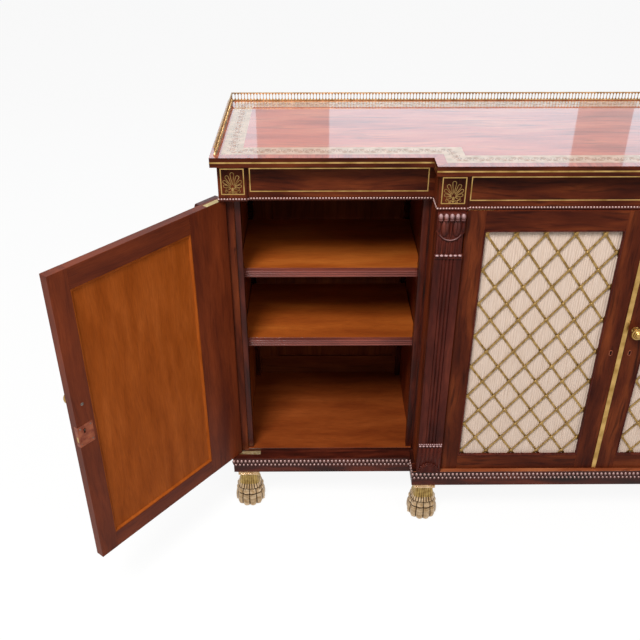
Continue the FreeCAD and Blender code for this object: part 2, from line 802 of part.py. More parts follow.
def pilaster(x0, front_y, bottom, top):
    """Reeded shaft with two collars, a console capital and a flared base."""
    x1 = x0 + pilaster_width
    middle = (x0 + x1) / 2.0
    face_y = front_y - pilaster_shaft_proud
    span = reed_count * reed_pitch
    edges = []
    corner = [Vec(middle - span / 2.0, face_y, lower_collar_z), Vec(x0, face_y, lower_collar_z),
              Vec(x0, front_y, lower_collar_z), Vec(x1, front_y, lower_collar_z),
              Vec(x1, face_y, lower_collar_z), Vec(middle + span / 2.0, face_y, lower_collar_z)]
    for first, last in zip(corner[:-1], corner[1:]):
        edges.append(Part.LineSegment(first, last).toShape())
    groove_y = face_y + reed_radius * 0.8
    fillet = reed_pitch / 2.0 - reed_radius
    cursor = corner[-1]
    for reed in range(reed_count):
        reed_x = middle + span / 2.0 - (reed + 0.5) * reed_pitch
        start = Vec(reed_x + reed_radius, groove_y, lower_collar_z)
        crown = Vec(reed_x, face_y, lower_collar_z)
        end = Vec(reed_x - reed_radius, groove_y, lower_collar_z)
        if reed == 0:
            foot = Vec(cursor.x, groove_y, lower_collar_z)
            edges.append(Part.LineSegment(cursor, foot).toShape())
            cursor = foot
        if fillet > 0.01:
            edges.append(Part.LineSegment(cursor, start).toShape())
        edges.append(Part.Arc(start, crown, end).toShape())
        cursor = end
    foot = Vec(corner[0].x, groove_y, lower_collar_z)
    edges.append(Part.LineSegment(cursor, foot).toShape())
    edges.append(Part.LineSegment(foot, corner[0]).toShape())
    low = lower_collar_z + collar_height / 2.0
    shaft = Part.Face(Part.Wire(edges)).extrude(Vec(0, 0, upper_collar_z - collar_height / 2.0 - low))
    shaft.translate(Vec(0, 0, collar_height / 2.0))
    collars = []
    for z in (upper_collar_z, lower_collar_z):
        half = collar_height / 2.0
        collar_y = front_y - collar_proud
        ring = [(front_y, z - half), (front_y, z + half), (face_y, z + half),
                (collar_y, z + half / 2.0), (collar_y, z - half / 2.0), (face_y, z - half)]
        collars.append(along_x(ring, x0, x1))
    capital = pilaster_capital(x0, x1, front_y, face_y, top)

    base_top = lower_collar_z - collar_height / 2.0
    base_y = front_y - base_proud
    flare = Part.Wire([
        Part.LineSegment(Vec(x0, front_y, bottom), Vec(x0, front_y, base_top)).toShape(),
        Part.LineSegment(Vec(x0, front_y, base_top), Vec(x0, face_y, base_top)).toShape(),
        Part.Arc(Vec(x0, face_y, base_top), Vec(x0, face_y - 0.6, (base_top + bottom) / 2.0),
                 Vec(x0, base_y + 1.5, bottom)).toShape(),
        Part.LineSegment(Vec(x0, base_y + 1.5, bottom), Vec(x0, front_y, bottom)).toShape(),
    ])
    base = Part.Face(flare).extrude(Vec(pilaster_width, 0, 0))
    disc = cylinder(base_round_radius, pilaster_shaft_proud + 3.0,
                    Vec(middle, base_y, bottom + 6.0), Vec(0, 1, 0))
    block = box(x0, x1, base_y, front_y, bottom, base_top)
    base = base.fuse(disc.common(block)).removeSplitter()
    return [shaft] + collars + [capital, base]


# ---- doors --------------------------------------------------------------------------------------
def trellis(x0, x1, z0, z1, front_y):
    """Two layers of slanting bars whose crossings make diamonds."""
    left = x0 + lip_width + trellis_side_margin
    right = x1 - lip_width - trellis_side_margin
    low = z0 + lip_width + trellis_end_margin
    high = z1 - lip_width - trellis_end_margin
    step_x = (right - left) / trellis_columns
    step_z = (high - low) / trellis_rows
    length = 2.0 * (x1 - x0 + z1 - z0)
    bars = []
    for layer, lean in ((0, 1), (1, -1)):
        y = front_y + lip_depth + layer * trellis_bar_depth
        field = box(x0, x1, y, y + trellis_bar_depth, z0, z1)
        angle = math.degrees(math.atan2(lean * step_z, step_x))
        for number in range(-trellis_rows - 1, trellis_columns + trellis_rows + 2):
            if number % 2:
                continue
            start_z = high if lean < 0 else high - trellis_rows * step_z
            bar = box(-length / 2.0, length / 2.0, y, y + trellis_bar_depth,
                      -trellis_bar / 2.0, trellis_bar / 2.0)
            bar.rotate(Vec(0, 0, 0), Vec(0, -1, 0), angle)
            bar.translate(Vec(left + number * step_x, 0, start_z))
            bar = bar.common(field)
            if bar.Solids:
                bars += bar.Solids
    return bars


def door_field(x0, x1, front_y):
    """What fills a door's opening: moulding, trellis, silk, backing board and its bead."""
    z0 = door_bottom + bottom_rail
    z1 = door_top - top_rail
    lip_back = front_y + lip_depth
    lip_front = front_y - lip_proud
    middle_x = (x0 + x1) / 2.0
    path = [Vec(middle_x, 0, z0), Vec(x1, 0, z0), Vec(x1, 0, z1), Vec(x0, 0, z1), Vec(x0, 0, z0)]
    lip = [(lip_back, 0.0), (front_y, 0.0), (lip_front, lip_width * 0.3), (lip_front, lip_width * 0.7),
           (front_y, lip_width), (lip_back, lip_width)]
    section = Part.makePolygon([Vec(middle_x, y, z0 + up) for y, up in lip + lip[:1]])
    moulding = swept(path, section, closed=True)

    bars = trellis(x0, x1, z0, z1, front_y)
    silk_y = lip_back + 2.0 * trellis_bar_depth + soft_gap
    silk = box(x0 + soft_gap, x1 - soft_gap, silk_y, silk_y + silk_thickness, z0 + soft_gap, z1 - soft_gap)
    board_y = silk_y + silk_thickness + soft_gap
    board = box(x0, x1, board_y, board_y + backing_thickness, z0, z1)
    bead_y = board_y + backing_thickness
    rings = []
    for inset, y in ((backing_bead_width, bead_y), (backing_bead_width / 3.0, bead_y + backing_bead_depth)):
        rings.append([Vec(x0 + inset, y, z0 + inset), Vec(x1 - inset, y, z0 + inset),
                      Vec(x1 - inset, y, z1 - inset), Vec(x0 + inset, y, z1 - inset)])
    bead = box(x0, x1, bead_y, bead_y + backing_bead_depth, z0, z1).cut(faceted(rings))
    return moulding, bars, silk, [board, bead]


def door_frame(x0, x1, hanging, free, front_y):
    """Two stiles and two rails around the opening."""
    back_y = front_y + door_thickness
    z0 = door_bottom + bottom_rail
    z1 = door_top - top_rail
    return [
        box(x0, x0 + hanging, front_y, back_y, door_bottom, door_top),
        box(x1 - free, x1, front_y, back_y, door_bottom, door_top),
        box(x0 + hanging, x1 - free, front_y, back_y, door_bottom, z0),
        box(x0 + hanging, x1 - free, front_y, back_y, z1, door_top),
    ]


def cut_all(solids, cutters):
    """Solids with every cutter taken out of each."""
    result = []
    for solid in solids:
        for cutter in cutters:
            if solid.common(cutter).Volume > 0.001:
                solid = solid.cut(cutter)
        result.append(solid)
    return result


def pin_clearance(wing):
    """Square space above and below the door plates for the ends of the pins."""
    pivot = wing_pivot if wing else centre_pivot
    depth = pin_reach + pin_end_clearance
    half = pin_radius + pin_recess_clearance
    spaces = []
    for z0 in (door_bottom + plate_thickness, door_top - plate_thickness - depth):
        spaces.append(box(pivot.x - half, pivot.x + half, pivot.y - half, pivot.y + half, z0, z0 + depth))
    return spaces


def left_door(wing, with_lock, free_end, free, key_x):
    """Every piece of a left-hung door, closed, as a dictionary of solids."""
    front_y = door_setback if wing else door_setback - break_depth
    shift_y = Vec(0, front_y - door_setback, 0)
    hanging_end = wing_hanging_end if wing else centre_hanging_end
    hanging = wing_hanging_stile if wing else hanging_stile
    frame = door_frame(hanging_end, free_end, hanging, free, front_y)
    back_y = front_y + door_thickness
    if wing:
        frame[0] = filleted(frame[0], wing_pivot_inset, upright_edge_at(hanging_end, back_y))
    else:
        frame[0] = filleted(frame[0], centre_edge_round, upright_edge_at(hanging_end, front_y))
        frame[0] = filleted(frame[0], centre_edge_round, upright_edge_at(hanging_end, back_y))
    lining = escutcheon(key_x, front_y)
    key_space = keyhole(key_x, front_y, back_y - lock_depth)
    plate_spaces = [hinge_plate(wing, z0) for z0 in (door_bottom, door_top - plate_thickness)]
    cutters = plate_spaces + pin_clearance(wing) + [lining, key_space]
    brass = door_plates(wing) + [lining.cut(key_space)]
    bolt = None
    if with_lock:
        case = lock_case(free_end, front_y)
        cutters.append(case)
        bolt_way = bolt_block(free_end, bolt_clearance, bolt_clearance)
        brass.append(case.cut(bolt_way.translated(shift_y)))
        bolt = bolt_block(free_end, 0.0, 0.0).translated(shift_y)
    moulding, bars, silk, backing = door_field(hanging_end + hanging, free_end - free, front_y)
    pieces = {
        "frame": cut_all(frame, cutters),
        "moulding": [moulding],
        "trellis": bars,
        "silk": [silk],
        "backing": backing,
        "brassware": brass,
    }
    if bolt:
        pieces["lock_bolt"] = [bolt]
    return pieces


def make_wing_doors():
    """The two wing doors; the left one is then swung open about its pivot."""
    pieces = left_door(True, True, wing_free_end, free_stile, wing_free_end - key_inset)
    pieces["brassware"].append(knob(wing_free_end - knob_inset, door_setback))
    pieces["pilaster"] = pilaster(wing_hanging_end + pilaster_end_inset, door_setback, door_bottom, door_top)
    for piece, solids in pieces.items():
        opened = []
        for solid in solids:
            swung = solid.copy()
            swung.rotate(wing_pivot, Vec(0, 0, 1), -wing_open_angle)
            opened.append(swung)
        put("left_wing_door_" + piece, opened)
        put("right_wing_door_" + piece, [mirrored(solid) for solid in solids])


def make_centre_doors():
    """The centre doors: flush bolts on the left one, lock, knob and meeting strip on the right."""
    left_free_end = strip_left - meeting_gap / 2.0
    front_y = door_setback - break_depth
    left = left_door(False, False, left_free_end, free_stile, left_free_end - key_inset)
    shot = bolt_travel + meeting_gap + bolt_clearance
    right_bolt_space = mirrored(bolt_block(-strip_left - meeting_gap / 2.0, bolt_clearance, shot))
    right_bolt_space.translate(Vec(0, -break_depth, 0))
    channels = [flush_bolt(top, flush_bolt_clearance, flush_bolt_travel) for top in (True, False)]
    left["frame"] = cut_all(left["frame"], channels + [right_bolt_space])
    for piece, solids in left.items():
        put("left_centre_door_" + piece, solids)
    put("left_centre_door_top_bolt", [flush_bolt(True, 0.0, 0.0)])
    put("left_centre_door_bottom_bolt", [flush_bolt(False, 0.0, 0.0)])

    right_free_end = -strip_left - meeting_gap / 2.0
    key_x = strip_left - meeting_gap / 2.0 - key_inset
    right = left_door(False, True, right_free_end, free_stile + strip_width, key_x)
    right["brassware"].append(knob(key_x, front_y))
    for piece, solids in right.items():
        put("right_centre_door_" + piece, [mirrored(solid) for solid in solids])
    strip = box(strip_left + meeting_gap / 2.0, -strip_left, front_y - strip_proud, front_y,
                door_bottom, door_top)
    put("right_centre_door_meeting_strip", [strip])


def make_centre_pilasters():
    """The fixed pilasters on the posts."""
    left = pilaster(-break_half_width, door_setback - break_depth, plinth_top, frieze_bottom)
    put("centre_pilaster_left", left)
    put("centre_pilaster_right", [mirrored(solid) for solid in left])


# ---- the whole cabinet ------------------------------------------------------------------------
make_frieze(make_top())
make_gallery()
make_plinth()
make_feet()
make_carcase()
make_shelves()
make_fixed_hinges()
make_centre_pilasters()
make_wing_doors()
make_centre_doors()

# The origin is on the floor, under the middle of the whole as it stands with its left door open.
whole = FreeCAD.BoundBox()
for solids in nodes.values():
    for solid in solids:
        whole.add(solid.BoundBox)
to_origin = Vec(-whole.Center.x, -whole.Center.y, 0.0)

os.makedirs("parts", exist_ok=True)
for node, solids in nodes.items():
    shape = Part.makeCompound([solid.translated(to_origin) for solid in solids])
    shape.exportStep("parts/" + node + ".step")
print(len(nodes), "nodes; origin moved by", to_origin)
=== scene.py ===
"""Looks of a breakfront chiffonier: polished rosewood, brass grilles over silk, gilt lion's paws.

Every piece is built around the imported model, in metres and in its frame. Sizes are in millimetres
in the cabinet's own frame: X from the middle of the front, Y back from the frieze tablets of the
wings, Z up from the floor.
"""

import functools
import json
import logging
import math
import random
from collections.abc import Callable, Iterable, Iterator
from contextlib import contextmanager
from dataclasses import dataclass
from enum import Enum

import bpy
from bpy.types import Material, MeshPolygon, Node, NodeSocket, Object
from mathutils import Matrix, Vector


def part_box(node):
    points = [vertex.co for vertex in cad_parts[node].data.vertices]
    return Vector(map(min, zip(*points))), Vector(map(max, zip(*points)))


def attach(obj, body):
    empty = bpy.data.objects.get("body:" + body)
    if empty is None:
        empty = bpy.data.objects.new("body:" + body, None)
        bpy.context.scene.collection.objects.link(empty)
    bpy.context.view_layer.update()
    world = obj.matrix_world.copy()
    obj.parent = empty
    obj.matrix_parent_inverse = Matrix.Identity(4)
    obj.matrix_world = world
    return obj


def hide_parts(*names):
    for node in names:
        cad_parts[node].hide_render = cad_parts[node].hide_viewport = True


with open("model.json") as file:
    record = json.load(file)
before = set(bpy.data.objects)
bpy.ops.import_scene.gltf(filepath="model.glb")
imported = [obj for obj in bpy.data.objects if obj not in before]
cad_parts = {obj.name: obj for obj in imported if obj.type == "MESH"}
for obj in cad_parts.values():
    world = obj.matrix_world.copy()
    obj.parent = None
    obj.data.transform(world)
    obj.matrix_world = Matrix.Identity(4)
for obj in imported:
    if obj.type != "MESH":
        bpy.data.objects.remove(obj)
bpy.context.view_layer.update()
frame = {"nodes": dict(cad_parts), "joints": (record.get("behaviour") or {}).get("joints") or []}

LOG = logging.getLogger("chiffonier")
MM = 0.001
Point = tuple[float, float, float]
Flat = tuple[float, float]


class Slot(Enum):
    """Material slots of the record."""

    ROSEWOOD = "rosewood"
    MAHOGANY = "mahogany"
    DARK_WOOD = "dark_wood"
    BRASS = "brass"
    GILT = "gilt_brass"
    SILK = "silk"


class Grain(Enum):
    """Which way the grain of a board runs."""

    LONGEST = 0
    UPRIGHT = 1


class Facing(Enum):
    """Ways in which an ornament can face, as a turn about the upright axis in degrees."""

    FRONT = 0.0
    LEFT = -90.0
    RIGHT = 90.0


# ---- places --------------------------------------------------------------------------------------
def shift(x: float, y: float, z: float) -> Matrix:
    """Matrix that moves by three distances."""
    return Matrix.Translation((x, y, z))


def turn(degrees: float, axis: str) -> Matrix:
    """Matrix that turns about an axis through the origin."""
    return Matrix.Rotation(math.radians(degrees), 4, axis)


def spans(points: Iterable[Vector]) -> list[float]:
    """Extents of some points along X, Y and Z."""
    return [max(axis) - min(axis) for axis in zip(*points)]


def both_halves(left: list[Flat]) -> list[Flat]:
    """Corners of the left half, and then their mirror images back to the right end."""
    return left + [(-x, y) for x, y in reversed(left)]


@dataclass(frozen=True)
class Plan:
    """Sizes of the cabinet that ornaments are set out from, in millimetres."""

    half_width: float = 836.0
    depth: float = 357.0
    break_half_width: float = 415.0
    break_depth: float = 48.0
    total_height: float = 900.0
    top_side_overhang: float = 10.0
    top_front_overhang: float = 26.0
    top_back_overhang: float = 10.0
    frieze_bottom: float = 803.0
    plinth_top: float = 151.0
    foot_height: float = 109.0
    tablet_width: float = 57.0
    tablet_proud: float = 4.5
    plinth_proud: float = 8.0
    door_setback: float = 1.5
    door_thickness: float = 19.0
    door_bottom: float = 152.5
    door_top: float = 801.5
    bottom_rail: float = 39.0
    top_rail: float = 41.0

    @property
    def centre_front(self) -> float:
        """Plane of the front of the centre doors and of the pilasters beside them."""
        return self.door_setback - self.break_depth

    def outline(self, side_reach: float, front: float, back: float) -> list[Flat]:
        """Corners of a breakfront outline, from the back of the left end round to the right one.

        Args:
            side_reach: how far it stands out beyond the carcase at the ends and at the break.
            front: depth of its front on the wings.
            back: depth at which its ends stop.

        Returns:
            Eight corners.
        """
        side, shoulder = self.half_width + side_reach, self.break_half_width + side_reach
        return both_halves([(-side, back), (-side, front), (-shoulder, front),
                            (-shoulder, front - self.break_depth)])

    def origin(self) -> Vector:
        """Place of the cabinet's own origin in the model's frame, in metres."""
        low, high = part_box("end_boards")
        return Vector(((low.x + high.x) / 2.0, high.y - self.depth * MM, 0.0))

    def place(self) -> Matrix:
        """Matrix from cabinet millimetres to the model's metres."""
        return Matrix.Translation(self.origin()) @ Matrix.Scale(MM, 4)


PLAN = Plan()


@dataclass(frozen=True)
class DoorLeaf:
    """One door: where its closed, left-hung shape lies and how it is carried to its place."""

    body: str
    wing: bool
    left_half: bool
    hanging_end: float
    hanging_stile: float
    free_end: float
    free_stile: float

    @property
    def front_y(self) -> float:
        """Plane of the closed door's front."""
        return PLAN.door_setback if self.wing else PLAN.centre_front

    @property
    def field_x(self) -> Flat:
        """Left and right edges of the opening, on the left-hung shape."""
        return self.hanging_end + self.hanging_stile, self.free_end - self.free_stile

    @property
    def field_z(self) -> Flat:
        """Lower and upper edges of the opening."""
        return PLAN.door_bottom + PLAN.bottom_rail, PLAN.door_top - PLAN.top_rail

    def place(self) -> Matrix:
        """Matrix from the closed, left-hung shape in millimetres to the door at rest in metres.

        Returns:
            The matrix. A right-hung door is the mirror of its left-hung shape. A door that stands
            open at rest is turned about its hinge by the angle that its joint closes it.
        """
        base = PLAN.place()
        if not self.left_half:
            return base @ Matrix.Scale(-1.0, 4, (1.0, 0.0, 0.0))
        hinge = next(joint for joint in frame["joints"] if joint["name"] == self.body + "_hinge")
        pivot = Matrix.Translation(Vector(hinge["pos_m"]))
        return pivot @ turn(-max(hinge["range_deg"]), "Z") @ pivot.inverted() @ base


# Hanging end, hanging stile, free end and free stile of each closed, left-hung shape.
WING_ENDS = (-833.8, 100.4, -416.5, 39.5)
LEFT_CENTRE_ENDS = (-358.8, 38.5, -5.5, 39.5)
RIGHT_CENTRE_ENDS = (-358.8, 38.5, 5.0, 50.0)
DOORS = (
    DoorLeaf("left_wing_door", True, True, *WING_ENDS),
    DoorLeaf("left_centre_door", False, True, *LEFT_CENTRE_ENDS),
    DoorLeaf("right_centre_door", False, False, *RIGHT_CENTRE_ENDS),
    DoorLeaf("right_wing_door", True, False, *WING_ENDS),
)


# ---- colours and nodes ---------------------------------------------------------------------------
def colour(hex_code: str) -> tuple[float, float, float, float]:
    """Linear colour of an sRGB hex code.

    Args:
        hex_code: six hex digits with a leading hash.

    Returns:
        Red, green, blue and alpha, linear.
    """
    shares = [int(hex_code[i:i + 2], 16) / 255.0 for i in (1, 3, 5)]
    linear = [s / 12.92 if s <= 0.04045 else ((s + 0.055) / 1.055) ** 2.4 for s in shares]
    return (*linear, 1.0)


def add_node(material: Material, kind: str, inputs: dict | None = None,
             **settings: object) -> Node:
    """Add a node to a material with its settings and its links.

    Args:
        material: the material that gets the node.
        kind: the node's type, without the ShaderNode prefix.
        inputs: values or output sockets by the name or the number of the input.
        settings: properties of the node itself.

    Returns:
        The new node.
    """
    tree = material.node_tree
    node = tree.nodes.new("ShaderNode" + kind)
    for name, value in settings.items():
        setattr(node, name, value)
    for key, value in (inputs or {}).items():
        if isinstance(value, NodeSocket):
            tree.links.new(value, node.inputs[key])
        else:
            node.inputs[key].default_value = value
    return node


def attribute(material: Material, name: str, output: str) -> NodeSocket:
    """Value of an attribute of the mesh."""
    return add_node(material, "Attribute", attribute_name=name).outputs[output]


def noise(material: Material, vector: NodeSocket, scale: float, detail: float = 2.0) -> Node:
    """Noise at a scale, with its octaves."""
    return add_node(material, "TexNoise", {"Vector": vector, "Scale": scale, "Detail": detail})


def drawn_out(material: Material, vector: NodeSocket, scale: Point) -> NodeSocket:
    """Coordinates stretched by a scale for each axis."""
    return add_node(material, "Mapping", {"Vector": vector, "Scale": scale}).outputs[0]


def mix(material: Material, share: object, low: object, high: object,
        blend: str = "MIX") -> NodeSocket:
    """Two colours mixed by a share, each a value or a socket."""
    return add_node(material, "MixRGB", {0: share, 1: low, 2: high}, blend_type=blend).outputs[0]


def remap(material: Material, value: NodeSocket, start: float, end: float, low: float = 0.0,
          high: float = 1.0) -> NodeSocket:
    """Value moved from the range start to end onto the range low to high, and kept in it."""
    return add_node(material, "MapRange", {"Value": value, "From Min": start, "From Max": end,
                                           "To Min": low, "To Max": high}).outputs[0]


def ramp(material: Material, value: NodeSocket, *stops: tuple[float, str]) -> NodeSocket:
    """Colour that a value finds on a ramp.

    Args:
        material: the material that gets the ramp.
        value: the value to look up.
        stops: place and hex colour of each stop.

    Returns:
        The colour.
    """
    node = add_node(material, "ValToRGB", {"Fac": value})
    elements = node.color_ramp.elements
    while len(elements) < len(stops):
        elements.new(0.5)
    for element, (place, hex_code) in zip(elements, stops):
        element.position = place
        element.color = colour(hex_code)
    return node.outputs[0]


def dent(material: Material, height: NodeSocket, strength: float,
         depth: float = 0.0003) -> NodeSocket:
    """Normal of a surface that is dented by a height, with its depth in metres."""
    return add_node(material, "Bump", {"Strength": strength, "Distance": depth,
                                       "Height": height}).outputs[0]


def new_material(name: str) -> Material:
    """Empty material that uses nodes."""
    material = bpy.data.materials.new(name)
    material.use_nodes = True
    material.node_tree.nodes.clear()
    return material


def close_shader(material: Material, inputs: dict) -> Material:
    """Add the surface shader with its inputs, and the output.

    Args:
        material: the material to close.
        inputs: values or sockets of the surface shader.

    Returns:
        The material.
    """
    shader = add_node(material, "BsdfPrincipled", inputs)
    add_node(material, "OutputMaterial", {"Surface": shader.outputs[0]})
    return material


# ---- finishes ------------------------------------------------------------------------------------
# Attributes of the meshes: coordinates along the grain, depth in a fold, which also sets the silk's
# painted crease shade, and the share of a painted highlight on faces turned up and forward.
GRAIN = "grain"
FOLD = "fold"
PAINTED_HIGHLIGHT = "painted_highlight"
# UV map of the silk.
CLOTH = "cloth"


@dataclass(frozen=True)
class Wood:
    """A polished wood whose grain runs along each board.

    The pattern follows the grain attribute: metres along, across and through the board, moved for
    each board, so that no two boards show the same figure. Each pattern has the width of one band,
    how many times longer than wide it is, and the octaves of its noise.
    """

    name: str
    deep: str
    middle: str
    light: str
    streak: str
    streak_share: float
    roughness: float
    polish: float
    polish_roughness: float
    shine: float = 0.5
    figure_mm: float = 26.0
    streak_mm: float = 7.0
    painted_sheen: str = ""
    pore_mm: float = 0.7
    relief: float = 0.06
    sway_scale: float = 5.0
    sway: float = 0.035
    tone_places: Point = (0.28, 0.5, 0.74)
    streak_range: Flat = (0.52, 0.72)
    pore_range: Flat = (0.35, 0.65)
    pore_tones: Flat = (0.8, 1.08)

    def make(self) -> Material:
        """Material of this wood.

        Returns:
            The material: a broad figure between three tones, dark streaks along the grain, fine
            pores that darken and dent the surface, a clear coat for the French polish, and on
            carving, beads and reeds a painted highlight: a paler tone on the faces turned up and
            forward.
        """
        material = new_material(self.name)
        along = attribute(material, GRAIN, "Vector")
        sway = noise(material, along, self.sway_scale).outputs["Color"]
        swayed = mix(material, self.sway, along, sway, "ADD")
        figure = self.band(material, swayed, self.figure_mm, 5.0, 4.0)
        tones = ramp(material, figure, *zip(self.tone_places, (self.deep, self.middle, self.light)))
        streaks = self.band(material, swayed, self.streak_mm, 14.0, 6.0)
        dark = remap(material, streaks, *self.streak_range, 0.0, self.streak_share)
        streaked = mix(material, dark, tones, colour(self.streak))
        pores = self.band(material, along, self.pore_mm, 30.0, 2.0)
        pored = remap(material, pores, *self.pore_range, *self.pore_tones)
        shade = mix(material, 1.0, streaked, pored, "MULTIPLY")
        if self.painted_sheen:
            # Painted highlight: a paler tone mixed in where the mesh marks faces turned up and
            # forward.
            shade = mix(material, attribute(material, PAINTED_HIGHLIGHT, "Fac"), shade, colour(self.painted_sheen))
        return close_shader(material, {
            "Base Color": shade, "Roughness": self.roughness, "Specular IOR Level": self.shine,
            "Coat Weight": self.polish, "Coat Roughness": self.polish_roughness,
            "Normal": dent(material, pores, self.relief)})

    @staticmethod
    def band(material: Material, vector: NodeSocket, width_mm: float, stretch: float,
             detail: float) -> NodeSocket:
        """Noise drawn out along the grain, from the width of a band across it."""
        scale = 1.0 / (width_mm * MM)
        drawn = drawn_out(material, vector, (scale / stretch, scale, scale))
        return noise(material, drawn, 1.0, detail).outputs["Fac"]


@dataclass(frozen=True)
class Metal:
    """A worked metal with a lively surface."""

    name: str
    bright: str
    dull: str
    grime: str
    roughness: float
    patch_mm: float
    polish: float = 0.0
    relief: float = 0.08
    relief_mm: float = 2.0
    clean_from: float = 0.495
    grime_range: float = 0.065
    polish_roughness: float = 0.04

    def make(self) -> Material:
        """Material of this metal.

        Returns:
            The material: two tones in soft patches, grime left in the hollows, and a slight
            unevenness.
        """
        material = new_material(self.name)
        place = add_node(material, "TexCoord").outputs["Object"]
        patches = noise(material, place, 1000.0 / self.patch_mm, 4.0).outputs["Fac"]
        tones = ramp(material, patches, (0.36, self.dull), (0.62, self.bright))
        hollow = add_node(material, "NewGeometry").outputs["Pointiness"]
        clean = remap(material, hollow, self.clean_from - self.grime_range, self.clean_from)
        uneven = noise(material, place, 1000.0 / self.relief_mm).outputs["Fac"]
        return close_shader(material, {
            "Base Color": mix(material, clean, colour(self.grime), tones), "Metallic": 1.0,
            "Roughness": self.roughness, "Coat Weight": self.polish,
            "Coat Roughness": self.polish_roughness, "Normal": dent(material, uneven, self.relief)})


@dataclass(frozen=True)
class PleatedSilk:
    """Cream silk with a fine weave and a soft sheen."""

    name: str = "pleated_silk_taffeta"
    light: str = "#DFC9B8"
    shade: str = "#D0B7A2"
    crease_shade: str = "#A2846C"
    thread_mm: float = 1.2
    thread_stretch: float = 40.0

    def make(self) -> Material:
        """Material of the silk.

        Returns:
            The material. Real threads of about 0.1 mm are too fine to show, so they are drawn at
            1.2 mm: slubs along the pleats that vary the tone a little. Painted shade darkens the
                    deepest creases.
        """
        material = new_material(self.name)
        place = add_node(material, "UVMap", uv_map=CLOTH).outputs[0]
        scale = 1.0 / (self.thread_mm * MM)
        drawn = drawn_out(material, place, (scale, scale / self.thread_stretch, 1.0))
        slubs = noise(material, drawn, 1.0, 3.0).outputs["Fac"]
        tones = ramp(material, slubs, (0.32, self.shade), (0.6, self.light))
        # Painted shade: the crease colour is mixed into the deepest folds.
        open_fold = remap(material, attribute(material, FOLD, "Fac"), 0.03, 0.3)
        return close_shader(material, {
            "Base Color": mix(material, open_fold, colour(self.crease_shade), tones), "Roughness": 0.6,
            "Sheen Weight": 0.15, "Sheen Roughness": 0.35, "Specular IOR Level": 0.25,
            "Normal": dent(material, slubs, 0.15, 0.0002)})


Finish = Wood | Metal | PleatedSilk


@functools.cache
def material_of(finish: Finish) -> Material:
    """Material of a finish, made at its first use."""
    return finish.make()


# Each wood: deep, middle and light tone, streaks and their share, roughness, polish and its
# roughness. Rosewood veneer, French-polished: near black in its streaks, red-brown between them.
ROSEWOOD = Wood("rosewood_french_polished", "#36120A", "#572412", "#7A3A1C", "#200A07", 0.75,
                0.42, 0.03, 0.08, shine=0.05, figure_mm=34.0)
# The same on the ledge of the plinth, paler: a painted reflection of the light on its upward faces.
LEDGE_PAINTED_SHEEN = Wood("rosewood_ledge_painted_sheen", "#7A381E", "#9A5230", "#B46A42", "#4E2012", 0.6,
                      0.35, 0.1, 0.1, shine=0.1, figure_mm=30.0)
# The same wood in a darker tone all over, on the plinth, the racks and the front edges of the
# boards inside; on the partitions' front edges the dark tone is also painted shade.
PLINTH_ROSEWOOD = Wood("rosewood_plinth", "#241009", "#43180F", "#6A2D1A", "#140706", 0.7,
                       0.4, 0.12, 0.1, shine=0.12)
# The same veneer on the top, figured and rubbed to a mirror.
ROSEWOOD_TOP = Wood("rosewood_mirror_polished_top", "#9A4032", "#C05C46", "#D47C5C", "#6A2820",
                    0.6, 0.35, 1.0, 0.03, shine=0.05, figure_mm=60.0, streak_mm=11.0)
# Crossband of the top: short grain, a shade darker.
CROSSBAND = Wood("rosewood_crossbanded", "#8C382B", "#AF503D", "#C5664C", "#5C2119", 0.6,
                 0.35, 1.0, 0.03, shine=0.05, figure_mm=12.0, streak_mm=3.0)
# Solid mahogany, stained red and waxed: the backs and edges of the doors, the stiles inside.
RED_MAHOGANY = Wood("mahogany_red_stained", "#551F0E", "#6C2D14", "#82391A", "#3C140B", 0.4,
                    0.45, 0.06, 0.22, shine=0.08, figure_mm=40.0)
# The same, polished along the shelves' reeded edges, with a painted highlight on the front crests
# of the reeds.
REEDED_MAHOGANY = Wood("mahogany_reeded_edge", "#521E16", "#6E3024", "#863F30", "#3A120C", 0.4,
                       0.3, 0.12, 0.15, shine=0.1, figure_mm=40.0, painted_sheen="#C08A84")
# Cedar of the doors' backing panels, waxed: orange brown, with a straight quiet grain.
CEDAR = Wood("cedar_waxed", "#92440F", "#A24F17", "#B05A20", "#7E370D", 0.3,
             0.5, 0.03, 0.25, shine=0.04)
# Cedar of the shelves, paler where things have rubbed it.
CEDAR_SHELF = Wood("cedar_shelf_worn", "#8A4015", "#A0501B", "#B46426", "#74300C", 0.35,
                   0.5, 0.06, 0.25, shine=0.1, figure_mm=50.0, streak_mm=4.0)
# Cedar of the bottom boards and of the cupboards' walls, browner with use.
CEDAR_WORN = Wood("cedar_waxed_worn", "#743212", "#884018", "#984C20", "#5E240A", 0.35,
                  0.5, 0.06, 0.25, shine=0.1, figure_mm=40.0, streak_mm=5.0)
# Pine of the back, stained brown and left dull.
STAINED_PINE = Wood("pine_stained_dark", "#5C2810", "#6E3416", "#7E401C", "#401C0A", 0.5,
                    0.62, 0.0, 0.4, shine=0.1)
# Oak of the rear feet, almost black.
DARK_OAK = Wood("oak_stained_black", "#21110B", "#2C170F", "#382014", "#160A06", 0.5,
                0.6, 0.0, 0.4, shine=0.3)
# Rosewood carved and stained: almost black, with a painted highlight, a pale pink tone, on the
# faces turned up and forward where the carving is marked.
CARVED_ROSEWOOD = Wood("rosewood_carved_dark", "#34110C", "#4E1E15", "#662D1F", "#200907", 0.5,
                       0.3, 0.08, 0.12, shine=0.05, painted_sheen="#B89694")
# The same on beads, with a stronger, paler painted highlight on their upper fronts.
BEADED_ROSEWOOD = Wood("rosewood_beads_painted_highlight", "#33130D", "#4C2016", "#632D20", "#1E0A06", 0.5,
                       0.25, 0.12, 0.1, shine=0.08, painted_sheen="#E0BCB4")
